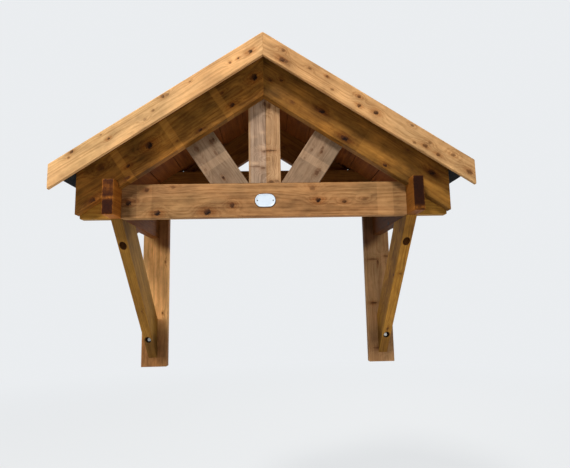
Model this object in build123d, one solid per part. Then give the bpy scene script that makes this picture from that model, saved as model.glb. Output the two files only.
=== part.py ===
"""Apex porch canopy on two gallows brackets, in sawn and planed softwood.

Millimetres, +Z up. The wall is the plane Y = 0 and the canopy stands out from it towards -Y,
with +X on the right of someone who faces the wall. The origin is on the back face of the wall
king post, at the middle height of the wall collar.
"""
from build123d import *
from math import cos, radians, sin, tan
import os

# Timber sizes
stock_thickness = 45
stock_depth = 145
web_depth = 137
post_width = 138
barge_thickness = 20
barge_depth = 84
board_thickness = 18
board_gap = 2
boards_per_slope = 7
felt_thickness = 3
verge_reveal = 4

# Roof shape
roof_pitch = 33.3
ridge_rise = 695
tail_half_width = 778
eaves_overhang = 50
ridge_cap_wing = 120

# Front of the roof, measured out from the wall
rafter_face = 745
verge_overhang = 70
arm_end_setback = 14

# Bargeboards
barge_end_reveal = 24
barge_drop = 38

# Gallows brackets
arm_spacing = 1210
arm_set_in = 53
brace_toe_setback = 5
brace_angle = 45
post_below_brace = 49

# Tie beam stubs
stub_end_setback = 2

# Wall truss
collar_top_rise = 371

# Brace bolts
bolt_diameter = 10
bolt_clearance = 0.5
head_across_flats = 17
head_height = 7
washer_diameter = 26
washer_thickness = 2.5
counterbore_diameter = 30
timber_under_head = 70
upper_bolt_bite = 90
lower_bolt_cover = 5

# Plate on the tie beam
plate_length = 86
plate_height = 56
plate_thickness = 4
plate_rise = 69
plate_rim = 1.5

# Fit between pieces that cross
notch_clearance = 0.3

pitch = radians(roof_pitch)
slope = tan(pitch)
arm_underside = stock_depth / 2 - collar_top_rise
arm_top = arm_underside + stock_depth
arm_inner = arm_spacing / 2
arm_outer = arm_inner + stock_thickness
post_inner = arm_inner - arm_set_in
post_outer = post_inner + post_width
ridge_under = arm_underside + ridge_rise
rafter_low_ridge = ridge_under - stock_depth / cos(pitch)
tie_face = rafter_face - stock_thickness
tie_back = tie_face - stock_thickness
wall_layer = stock_thickness
barge_back = rafter_face + verge_overhang
barge_half_width = tail_half_width + eaves_overhang + barge_end_reveal
arm_reach = barge_back - arm_end_setback
brace_toe = tie_face - brace_toe_setback
brace_contact = stock_depth / cos(radians(brace_angle))
brace_foot_drop = (brace_toe - wall_layer) * tan(radians(brace_angle))
brace_mid_x = arm_inner + stock_thickness / 2
post_foot = arm_underside - brace_foot_drop - post_below_brace
upper_bolt_out = brace_toe - brace_contact / 2
lower_bolt_drop = brace_foot_drop - brace_contact / 2
lower_bolt_bite = stock_thickness - lower_bolt_cover
board_end_run = (tail_half_width + eaves_overhang) / cos(pitch) - felt_thickness


def roof_height(x):
    """Height of the rafters' top edge, where the roof boards lie, at distance x from the middle."""
    return ridge_under - slope * x


def rafter_low_height(x):
    """Height of the rafters' lower edge at distance x from the middle."""
    return rafter_low_ridge - slope * x


def front_board(outline, back, thickness):
    """A board with its outline in X and Z, its back face `back` out from the wall."""
    face = make_face(Polyline(*outline, close=True))
    return extrude(Plane.XZ.offset(back) * face, amount=thickness)


def side_board(outline, inner, thickness):
    """A board with its outline in Y and Z, its inner face at X = inner."""
    face = make_face(Polyline(*outline, close=True))
    return extrude(Plane.YZ.offset(inner) * face, amount=thickness)


def on_slope(run, lift):
    """X and Z of a point `run` down the right slope from the ridge and `lift` off its underside."""
    return (run * cos(pitch) + lift * sin(pitch), ridge_under - run * sin(pitch) + lift * cos(pitch))


def ridge_run(lift):
    """Run at which a layer, lifted off the underside, meets the upright plane through the ridge."""
    return -lift * slope


def layer_outline(start_run, end_run, low, high):
    """Outline of a layer between two lifts; a start of None is cut plumb at the ridge."""
    near_low = ridge_run(low) if start_run is None else start_run
    near_high = ridge_run(high) if start_run is None else start_run
    return [
        on_slope(near_low, low),
        on_slope(end_run, low),
        on_slope(end_run, high),
        on_slope(near_high, high),
    ]


def make_wall_post():
    """Post flat on the wall, its head cut to the wall rafter that bears on it."""
    outline = [
        (post_inner, post_foot),
        (post_outer, post_foot),
        (post_outer, rafter_low_height(post_outer)),
        (post_inner, rafter_low_height(post_inner)),
    ]
    post = front_board(outline, 0, stock_thickness)
    return post - lower_bolt_hole(lower_bolt_bite)


def make_arm():
    """Level arm on edge, butted on the post and run out through the front truss."""
    outline = [
        (-arm_reach, arm_underside),
        (-wall_layer, arm_underside),
        (-wall_layer, arm_top),
        (-arm_reach, arm_top),
    ]
    arm = side_board(outline, arm_inner, stock_thickness)
    return arm - upper_bolt_hole(upper_bolt_bite)


def upper_bolt_plane(drop):
    """Plane that faces up, on the upper bolt's axis, `drop` below the arm."""
    return Plane(origin=(brace_mid_x, -upper_bolt_out, arm_underside - drop), z_dir=(0, 0, 1))


def lower_bolt_plane(out):
    """Plane that faces the wall, on the lower bolt's axis, `out` from the post."""
    return Plane(
        origin=(brace_mid_x, -wall_layer - out, arm_underside - lower_bolt_drop),
        x_dir=(1, 0, 0),
        z_dir=(0, 1, 0),
    )


def bolt_hole(plane_at, bite):
    """Hole for a bolt: clearance up to the carrying timber and `bite` into it."""
    radius = bolt_diameter / 2 + bolt_clearance
    length = timber_under_head + bite + bolt_clearance
    return extrude(plane_at(timber_under_head) * Circle(radius), amount=length)


def counterbore(plane_at):
    """Wide hole from outside the brace in to the seat of the bolt's washer."""
    start = timber_under_head + brace_contact
    return extrude(plane_at(start) * Circle(counterbore_diameter / 2), amount=brace_contact)


def upper_bolt_hole(bite):
    return bolt_hole(upper_bolt_plane, bite)


def lower_bolt_hole(bite):
    return bolt_hole(lower_bolt_plane, bite)


def make_brace():
    """Raking brace between the arm and the post, counterbored for one bolt at each end."""
    outline = [
        (-brace_toe, arm_underside),
        (-brace_toe + brace_contact, arm_underside),
        (-wall_layer, arm_underside - brace_foot_drop + brace_contact),
        (-wall_layer, arm_underside - brace_foot_drop),
    ]
    brace = side_board(outline, arm_inner, stock_thickness)
    brace -= upper_bolt_hole(0)
    brace -= lower_bolt_hole(0)
    brace -= counterbore(upper_bolt_plane)
    brace -= counterbore(lower_bolt_plane)
    return brace


def make_bolt(plane_at, bite):
    """Hexagon bolt and washer seated in the brace's counterbore, with a domed tip."""
    seat = timber_under_head
    washer = extrude(plane_at(seat + washer_thickness) * Circle(washer_diameter / 2), amount=washer_thickness)
    head_start = seat + washer_thickness + head_height
    hexagon = RegularPolygon(head_across_flats / 2, 6, major_radius=False)
    head = extrude(plane_at(head_start) * hexagon, amount=head_height)
    cone = plane_at(head_start) * Cone(
        head_across_flats / 2,
        head_across_flats / 2 + head_height * 2,
        head_height,
        align=(Align.CENTER, Align.CENTER, Align.MIN),
    )
    head &= cone
    shank_length = head_start + bite
    shank = extrude(plane_at(head_start) * Circle(bolt_diameter / 2), amount=shank_length)
    bolt = washer + head + shank
    tip = bolt.edges().group_by(Axis((0, 0, 0), tuple(plane_at(0).z_dir)))[-1]
    return chamfer(tip, bolt_diameter / 5)


def make_rafter(back):
    """Rafter on edge: plumb cut at the ridge and at the tail."""
    outline = [
        (0, rafter_low_height(0)),
        (tail_half_width, rafter_low_height(tail_half_width)),
        (tail_half_width, roof_height(tail_half_width)),
        (0, roof_height(0)),
    ]
    return front_board(outline, back, stock_thickness)


def make_front_rafter():
    """Front rafter, notched over the arm that runs out through it."""
    rafter = make_rafter(tie_face)
    notch = [
        (arm_inner - notch_clearance, rafter_low_height(arm_outer + stock_depth)),
        (arm_outer + notch_clearance, rafter_low_height(arm_outer + stock_depth)),
        (arm_outer + notch_clearance, arm_top),
        (arm_inner - notch_clearance, arm_top),
    ]
    return rafter - front_board(notch, tie_back, stock_thickness * 3)


def make_tie_beam():
    """Tie beam between the arms, in the layer behind the front rafters."""
    outline = [
        (-arm_inner, arm_underside),
        (arm_inner, arm_underside),
        (arm_inner, arm_top),
        (-arm_inner, arm_top),
    ]
    return front_board(outline, tie_back, stock_thickness)


def make_tie_stub():
    """Short end of the tie beam on the outer side of the arm, under the rafter's tail."""
    stub_end = tail_half_width - stub_end_setback
    outline = [
        (arm_outer, arm_underside),
        (stub_end, arm_underside),
        (stub_end, arm_top),
        (arm_outer, arm_top),
    ]
    return front_board(outline, tie_back, stock_thickness)


def make_king_post():
    """King post from the tie beam up behind the rafters to the roof boards."""
    half = web_depth / 2
    outline = [
        (-half, arm_top),
        (half, arm_top),
        (half, roof_height(half)),
        (0, roof_height(0)),
        (-half, roof_height(half)),
    ]
    return front_board(outline, tie_back, stock_thickness)


def make_strut():
    """Strut square to the rafter, from the corner of the tie beam and king post to the roof."""
    foot_inner = web_depth / 2
    foot_outer = foot_inner + web_depth / cos(pitch)

    def head_x(foot):
        """Where an edge that leans out by the pitch from the upright meets the roof boards."""
        return (foot + slope * (ridge_under - arm_top)) / (1 + slope**2)

    outline = [
        (foot_inner, arm_top),
        (foot_outer, arm_top),
        (head_x(foot_outer), roof_height(head_x(foot_outer))),
        (head_x(foot_inner), roof_height(head_x(foot_inner))),
    ]
    return front_board(outline, tie_back, stock_thickness)


def make_wall_king_post():
    """Upright on the wall behind the collar, its head cut to both wall rafters."""
    half = web_depth / 2
    foot = -stock_depth / 2
    outline = [
        (-half, foot),
        (half, foot),
        (half, rafter_low_height(half)),
        (0, rafter_low_height(0)),
        (-half, rafter_low_height(half)),
    ]
    return front_board(outline, 0, stock_thickness)


def make_wall_collar():
    """Level collar on the front of the wall rafters, its ends cut to the roof's slope."""
    top = stock_depth / 2
    foot = -stock_depth / 2

    def end(height):
        return (ridge_under - height) / slope

    outline = [
        (-end(foot), foot),
        (end(foot), foot),
        (end(top), top),
        (-end(top), top),
    ]
    return front_board(outline, wall_layer, stock_thickness)


def make_roof_boards():
    """Boards that run from the wall to the bargeboard, with a small gap between each two."""
    pitch_of_boards = board_end_run / boards_per_slope
    boards = []
    for index in range(boards_per_slope):
        start = None if index == 0 else index * pitch_of_boards + board_gap
        end = (index + 1) * pitch_of_boards
        outline = layer_outline(start, end, 0, board_thickness)
        boards.append(front_board(outline, 0, barge_back))
    return Compound(children=boards)


def make_roof_felt():
    """Felt on the boards of one slope, wrapped round the eaves board and back to the rafters."""
    low = board_thickness
    high = board_thickness + felt_thickness
    eaves = board_end_run + felt_thickness
    sheet = front_board(layer_outline(None, eaves, low, high), 0, barge_back)
    fold = front_board(layer_outline(board_end_run, eaves, -felt_thickness, high), 0, barge_back)
    tail_run = (tail_half_width + felt_thickness) / cos(pitch)
    under = front_board(layer_outline(tail_run, eaves, -felt_thickness, 0), 0, barge_back)
    return sheet + fold + under


def make_verge_strip():
    """Strip of felt turned up the back of the bargeboard from the felt on the slope."""
    lift = board_thickness + felt_thickness
    foot_x, foot_z = on_slope(board_end_run + felt_thickness, lift)
    rise = (barge_depth - lift - verge_reveal) / cos(pitch) - barge_drop
    outline = [
        (0, foot_z + slope * foot_x),
        (foot_x, foot_z),
        (foot_x, foot_z + rise),
        (0, foot_z + slope * foot_x + rise),
    ]
    return front_board(outline, barge_back - felt_thickness, felt_thickness)


def make_ridge_capping():
    """Strip of felt folded over the ridge, on both slopes."""
    low = board_thickness + felt_thickness
    high = low + felt_thickness
    right = layer_outline(None, ridge_run(low) + ridge_cap_wing, low, high)
    inner_low, outer_low, outer_high, inner_high = right
    left = [(-outer_high[0], outer_high[1]), (-outer_low[0], outer_low[1])]
    outline = [inner_low, outer_low, outer_high, inner_high] + left
    return front_board(outline, 0, barge_back - felt_thickness)


def make_bargeboard():
    """Bargeboard on the ends of the roof boards, mitred at the ridge and plumb at its end."""
    drop = barge_depth / cos(pitch)
    top = ridge_under - barge_drop + drop
    outline = [
        (0, top - drop),
        (barge_half_width, top - drop - slope * barge_half_width),
        (barge_half_width, top - slope * barge_half_width),
        (0, top),
    ]
    return front_board(outline, barge_back, barge_thickness)


def make_oval_plate():
    """Blank plate with round ends and a raised rim on the tie beam's face."""
    centre = Location((0, arm_underside + plate_rise, 0))
    face = Plane.XZ.offset(tie_face)
    plate = extrude(face * centre * SlotOverall(plate_length, plate_height), amount=plate_thickness)
    field = SlotOverall(plate_length - plate_rim * 4, plate_height - plate_rim * 4)
    sunk = extrude(face.offset(plate_thickness - plate_rim / 2) * centre * field, amount=plate_rim)
    return plate - sunk


def save_pair(name, shape):
    """Write the right-hand piece and its mirror image on the left."""
    save(name + "_right", shape)
    save(name + "_left", mirror(shape, about=Plane.YZ))


def save(name, shape):
    shape.label = name
    export_step(shape, f"parts/{name}.step")


os.makedirs("parts", exist_ok=True)
save_pair("wall_post", make_wall_post())
save_pair("bracket_arm", make_arm())
save_pair("bracket_brace", make_brace())
save_pair("brace_bolt_upper", make_bolt(upper_bolt_plane, upper_bolt_bite))
save_pair("brace_bolt_lower", make_bolt(lower_bolt_plane, lower_bolt_bite))
save_pair("wall_rafter", make_rafter(0))
save_pair("front_rafter", make_front_rafter())
save("tie_beam", make_tie_beam())
save_pair("tie_stub", make_tie_stub())
save("king_post", make_king_post())
save_pair("strut", make_strut())
save("wall_king_post", make_wall_king_post())
save("wall_collar", make_wall_collar())
save_pair("roof_boards", make_roof_boards())
save_pair("roof_felt", make_roof_felt())
save_pair("verge_strip", make_verge_strip())
save("ridge_capping", make_ridge_capping())
save_pair("barge_board", make_bargeboard())
save("oval_plate", make_oval_plate())
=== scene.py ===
"""Apex porch canopy: every timber, the felt roof, the bolts and the plate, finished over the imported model.

Metres, +Z up. The wall is the plane Y = 0, the canopy stands out towards -Y and +X is on the right of
someone who faces the wall. Each timber is a section carried along its own axis, cut at its ends by planes
and coloured by one solid softwood pattern, so that growth rings and knots run through it.
"""
import math
from dataclasses import dataclass, replace

import bpy
import numpy as np
from mathutils import Matrix, Vector


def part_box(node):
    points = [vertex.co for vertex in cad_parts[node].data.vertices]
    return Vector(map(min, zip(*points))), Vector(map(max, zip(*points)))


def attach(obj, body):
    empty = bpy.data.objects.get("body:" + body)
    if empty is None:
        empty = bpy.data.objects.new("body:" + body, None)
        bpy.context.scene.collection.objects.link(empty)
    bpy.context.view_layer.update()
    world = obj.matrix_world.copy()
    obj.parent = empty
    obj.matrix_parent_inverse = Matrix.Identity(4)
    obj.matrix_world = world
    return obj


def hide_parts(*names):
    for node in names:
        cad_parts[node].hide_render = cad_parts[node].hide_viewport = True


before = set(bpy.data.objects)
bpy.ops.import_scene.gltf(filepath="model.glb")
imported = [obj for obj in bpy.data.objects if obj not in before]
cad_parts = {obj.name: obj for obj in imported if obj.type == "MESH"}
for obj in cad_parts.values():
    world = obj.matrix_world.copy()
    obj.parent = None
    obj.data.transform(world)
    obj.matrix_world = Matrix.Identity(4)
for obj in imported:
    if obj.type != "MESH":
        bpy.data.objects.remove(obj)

bl_info = {
    "name": "Porch canopy finish",
    "version": (1, 0, 0),
    "blender": (4, 5, 0),
    "location": "3D View > Sidebar > Canopy",
    "description": "Finishes the timbers, felt, bolts and plate of an apex porch canopy",
    "category": "Object",
}


def low(node):
    """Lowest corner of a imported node."""
    return np.array(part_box(node)[0])


def high(node):
    """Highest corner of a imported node."""
    return np.array(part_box(node)[1])


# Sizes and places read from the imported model, on the right of the canopy
ARM_INNER, ARM_END, ARM_UNDER = low("bracket_arm_right")
ARM_OUTER, _, ARM_TOP = high("bracket_arm_right")
ARM_MIDDLE = (ARM_INNER + ARM_OUTER) / 2
ARM_LEVEL = (ARM_UNDER + ARM_TOP) / 2
STOCK = ARM_OUTER - ARM_INNER
DEPTH = ARM_TOP - ARM_UNDER
WEB = (high("king_post") - low("king_post"))[0]
POST_INNER, _, POST_FOOT = low("wall_post_right")
POST_OUTER = high("wall_post_right")[0]
POST_WIDTH = POST_OUTER - POST_INNER
BRACE_TOE, BRACE_FOOT = low("bracket_brace_right")[1:]
RAFTER_FACE, RAFTER_FOOT = low("front_rafter_right")[1:]
TAIL, TIE_FACE, RIDGE = high("front_rafter_right")
TIE_BACK = high("tie_beam")[1]
TIE_MIDDLE = (TIE_FACE + TIE_BACK) / 2
STUB_END = high("tie_stub_right")[0]
BARGE_FACE, BARGE_FOOT = low("barge_board_right")[1:]
BARGE_END, BARGE_BACK, BARGE_TOP = high("barge_board_right")
PLATE_LOW = low("oval_plate")
PLATE_HIGH = high("oval_plate")
PLATE_SIZE = PLATE_HIGH - PLATE_LOW
PLATE_MIDDLE = (PLATE_HIGH + PLATE_LOW) / 2

BOARD_THICKNESS = 0.018
BOARDS_PER_SLOPE = 7
BOARD_GAP = 0.002
FELT_THICKNESS = 0.003
NOTCH_GAP = 0.0003
COUNTERBORE = 0.015
MM = 0.001

SIDES = ((-1, "left"), (1, "right"))
X, Y, Z = np.eye(3)


def pitch_from_plumb_cuts(run, rise, depth):
    """Pitch of a plumb-cut rafter whose box is `run` by `rise` and whose section is `depth` deep.

    The box's height is depth / cos(pitch) + run * tan(pitch), which is solved for the pitch.
    """
    return math.acos(depth / math.hypot(rise, run)) - math.atan2(run, rise)


PITCH = pitch_from_plumb_cuts(TAIL, RIDGE - RAFTER_FOOT, DEPTH)
SLOPE = math.tan(PITCH)
COS = math.cos(PITCH)
SIN = math.sin(PITCH)
BARGE_DEPTH = (BARGE_TOP - BARGE_FOOT - SLOPE * BARGE_END) * COS
BOARD_RUN = (high("roof_boards_right")[0] - BOARD_THICKNESS * SIN) / COS
FELT_TOP = BOARD_THICKNESS + FELT_THICKNESS
FELT_RUN = (high("roof_felt_right")[0] - FELT_TOP * SIN) / COS


def at(x, y, z):
    """A point as an array."""
    return np.array([x, y, z], dtype=float)


def down(side):
    """Unit vector down the slope on one side."""
    return at(side * COS, 0, -SIN)


def up(side):
    """Unit vector square off the slope on one side."""
    return at(side * SIN, 0, COS)


def points_of(*coordinates):
    """Points from their coordinates, which may be single numbers or arrays that fit each other."""
    return np.stack(np.broadcast_arrays(*coordinates), axis=-1)


def on_roof(run, lift, side, y):
    """Points at a run down a slope and a lift square off the boards' underside."""
    return points_of(side * (run * COS + lift * SIN), y, RIDGE - run * SIN + lift * COS)


def colour_setting(name, description, default):
    """A colour as seen that can be changed in the sidebar."""
    return bpy.props.FloatVectorProperty(
        name=name, description=description, default=default, subtype="COLOR_GAMMA", min=0, max=1
    )


def length_setting(name, description, default):
    """A length that can be changed in the sidebar."""
    return bpy.props.FloatProperty(name=name, description=description, default=default, unit="LENGTH")


def power_setting(name, description, default):
    """A lamp's power that can be changed in the sidebar."""
    return bpy.props.FloatProperty(name=name, description=description, default=default, unit="POWER")


class TimberSettings(bpy.types.PropertyGroup):
    """Shape of the sawn and planed timbers, and their colours as seen."""

    arris: length_setting("Eased arris", "Radius of the long edges", 0.0022)
    wear: length_setting("Arris wear", "Most that a knock takes off an arris", 0.0016)
    step: length_setting("Station spacing", "Spacing of the sections along a timber", 0.014)
    ring_gap: length_setting("Ring gap", "Width of one growth ring", 0.0062)
    barge: colour_setting("Bargeboard", "Honey pine of the bargeboards", (0.82, 0.64, 0.44))
    # The rafter tone is darkened in part as painted shade under the bargeboards.
    rafter: colour_setting("Rafter", "Amber brown of the front rafters", (0.50, 0.335, 0.135))
    beam: colour_setting("Tie beam", "Warm tan of the tie beam", (0.63, 0.455, 0.275))
    web: colour_setting("Webs", "Greyed pink tan of the king post and struts", (0.655, 0.52, 0.385))
    bracket: colour_setting("Brackets", "Golden brown of the braces and stubs", (0.62, 0.455, 0.19))
    # The arm tone is darkened in part as painted shade under the tie beam.
    arm: colour_setting("Arms", "Red brown of the arms", (0.56, 0.34, 0.12))
    post: colour_setting("Wall posts", "Tan of the posts on the wall", (0.70, 0.53, 0.34))
    # The wall timbers' tone is darkened in part as painted shade under the roof.
    inner: colour_setting("Wall timbers", "Red brown of the timbers on the wall", (0.42, 0.255, 0.10))
    # The roof boards' tone is darkened in part as painted shade under the roof.
    board: colour_setting("Roof boards", "Dark red brown of the roof boards", (0.38, 0.20, 0.07))
    knot: colour_setting("Knots", "Dark brown of the knots", (0.24, 0.12, 0.05))


class RoofSettings(bpy.types.PropertyGroup):
    """Felt covering and its nails."""

    felt: colour_setting("Felt", "Charcoal mineral felt", (0.15, 0.155, 0.16))
    wave: length_setting("Felt wave", "Height of the felt's slack waves", 0.0012)
    lap: length_setting("Lap", "Overlap of one course of felt on the next", 0.075)
    nail: length_setting("Nail head", "Radius of a clout nail's head", 0.005)
    nail_rise: length_setting("Nail rise", "Height of a clout nail's head", 0.0012)
    nail_margin: length_setting("Nail margin", "Distance of the nails from an edge", 0.025)
    nail_gap: length_setting("Nail spacing", "Spacing of the clout nails", 0.055)
    nail_steel: colour_setting("Nail steel", "Dull zinc of the clout nails", (0.42, 0.42, 0.41))


class FittingSettings(bpy.types.PropertyGroup):
    """Plate, its screws and the bolts."""

    enamel: colour_setting("Enamel", "Pale enamel of the oval plate", (0.80, 0.84, 0.88))
    rim: length_setting("Rim", "Width of the plate's raised rim", 0.003)
    screw: length_setting("Screw head", "Radius of the plate's screw heads", 0.0026)
    screw_steel: colour_setting("Screw steel", "Dark steel of the plate's screws", (0.34, 0.31, 0.28))
    # The bolt outside this radius is painted shade.
    head: length_setting("Bright head", "Radius of the clean part of a bolt", 0.0092)
    steel: colour_setting("Steel", "Zinc on the bolts", (0.72, 0.72, 0.70))


class StageSettings(bpy.types.PropertyGroup):
    """Floor, lights and camera."""

    ground: length_setting("Ground", "Depth of the ground below the post feet", 1.2)
    floor: colour_setting("Floor", "Pale floor", (0.90, 0.90, 0.89))
    backdrop: colour_setting("Backdrop", "Pale backdrop", (0.92, 0.93, 0.94))
    key: power_setting("Key light", "Power of the high soft light", 1900.0)
    fill: power_setting("Fill light", "Power of the low soft light", 20.0)
    back: power_setting("Back light", "Power of the soft light on the wall side", 420.0)
    ambient: bpy.props.FloatProperty(
        name="Ambient", description="Strength of the even light from all round", default=0.125
    )
    view_half_width: bpy.props.FloatProperty(
        name="Half view", description="Half the camera's horizontal angle of view",
        default=math.atan(285 / 456), subtype="ANGLE",
    )


# Surfaces


def new_mesh(name, surface):
    """A mesh of points, quads and triangles, flat until it is shaded."""
    points, quads, tris = surface
    mesh = bpy.data.meshes.new(name)
    mesh.vertices.add(len(points))
    mesh.vertices.foreach_set("co", np.asarray(points, dtype=np.float32).ravel())
    loops = np.concatenate([quads.ravel(), tris.ravel()]).astype(np.int32)
    sizes = np.repeat([4, 3], [len(quads), len(tris)]).astype(np.int32)
    mesh.loops.add(len(loops))
    mesh.loops.foreach_set("vertex_index", loops)
    mesh.polygons.add(len(sizes))
    mesh.polygons.foreach_set("loop_start", (np.cumsum(sizes) - sizes).astype(np.int32))
    mesh.polygons.foreach_set("loop_total", sizes)
    mesh.update(calc_edges=True)
    mesh.shade_flat()
    return mesh


def new_object(name, data):
    """An object in the scene."""
    thing = bpy.data.objects.new(name, data)
    bpy.context.scene.collection.objects.link(thing)
    return thing


def build_piece(name, surface, node_names, material, angle=35):
    """A piece from points, quads and triangles that rides on the canopy.

    Edges between faces that turn by more than `angle` degrees are sharp and the rest are smooth.
    """
    mesh = new_mesh(name, surface)
    mesh.shade_smooth()
    mesh.set_sharp_from_angle(angle=math.radians(angle))
    mesh.materials.append(material)
    piece = new_object(name, mesh)
    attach(piece, "root")
    if node_names:
        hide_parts(*node_names)
    return piece


def wrapped_grid(rows):
    """Point numbers of rows of closed rings, the same turned by one, and the quads between the rows.

    Row i, column j joins row i + 1 and column j + 1, wrapped round.
    """
    index = np.arange(rows.shape[0] * rows.shape[1]).reshape(rows.shape[:2])
    turned = np.roll(index, -1, axis=1)
    quads = np.stack([index[:-1], index[1:], turned[1:], turned[:-1]], axis=-1).reshape(-1, 4)
    return index, turned, quads


def capped_tube(rows):
    """Rows of closed rings with a fan at each end, whose pole is the mean of its ring."""
    index, turned, quads = wrapped_grid(rows)
    points = np.concatenate([rows.reshape(-1, 3), rows[:1].mean(axis=1), rows[-1:].mean(axis=1)])
    pole = np.full(index.shape[1], index.size)
    near = np.stack([index[0], turned[0], pole], axis=-1)
    far = np.stack([turned[-1], index[-1], pole + 1], axis=-1)
    return points, quads, np.concatenate([near, far])


def capped_strip(rows):
    """A thin closed outline in rows, its two ends closed by quads between facing points.

    The outline has as many points on its outer side as on its inner side, so point j faces point
    count - 1 - j.
    """
    index, _, quads = wrapped_grid(rows)
    around = index.shape[1]
    j = np.arange(around // 2 - 1)
    facing = np.stack([j, j + 1, around - 2 - j, around - 1 - j], axis=-1)
    ends = [index[0][facing], index[-1][facing[:, ::-1]]]
    return rows.reshape(-1, 3), np.concatenate([quads, *ends]), np.zeros((0, 3), dtype=int)


def joined(parts):
    """Several sets of points and faces as one set."""
    starts = np.cumsum([0] + [len(points) for points, _, _ in parts])
    points = np.concatenate([part[0] for part in parts])
    quads = np.concatenate([part[1] + start for part, start in zip(parts, starts)])
    tris = np.concatenate([part[2] + start for part, start in zip(parts, starts)])
    return points, quads, tris


def wander(t, seed, length):
    """A smooth random curve of t between about -1 and 1: five sines of random phase and falling height."""
    random = np.random.default_rng(seed)
    order = np.arange(1, 6)
    phase = random.uniform(0, 2 * np.pi, 5)
    stretch = random.uniform(0.75, 1.3, 5)
    waves = np.sin(2 * np.pi * np.multiply.outer(t / length, order * stretch) + phase)
    return (waves / order).sum(axis=-1) / 1.6


FLAT_STEP = 0.028       # twice the spacing of points across a wide face
SHOULDER = 0.0015       # from the end of a wide face to its next point
CHECK_CLEARANCE = 0.0055
CHECK_POINTS = np.array([-1.5, -0.5, 0.0, 0.5, 1.5])
END_EASE = 0.0009
CHECK_DRIFT = 0.0022


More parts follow.
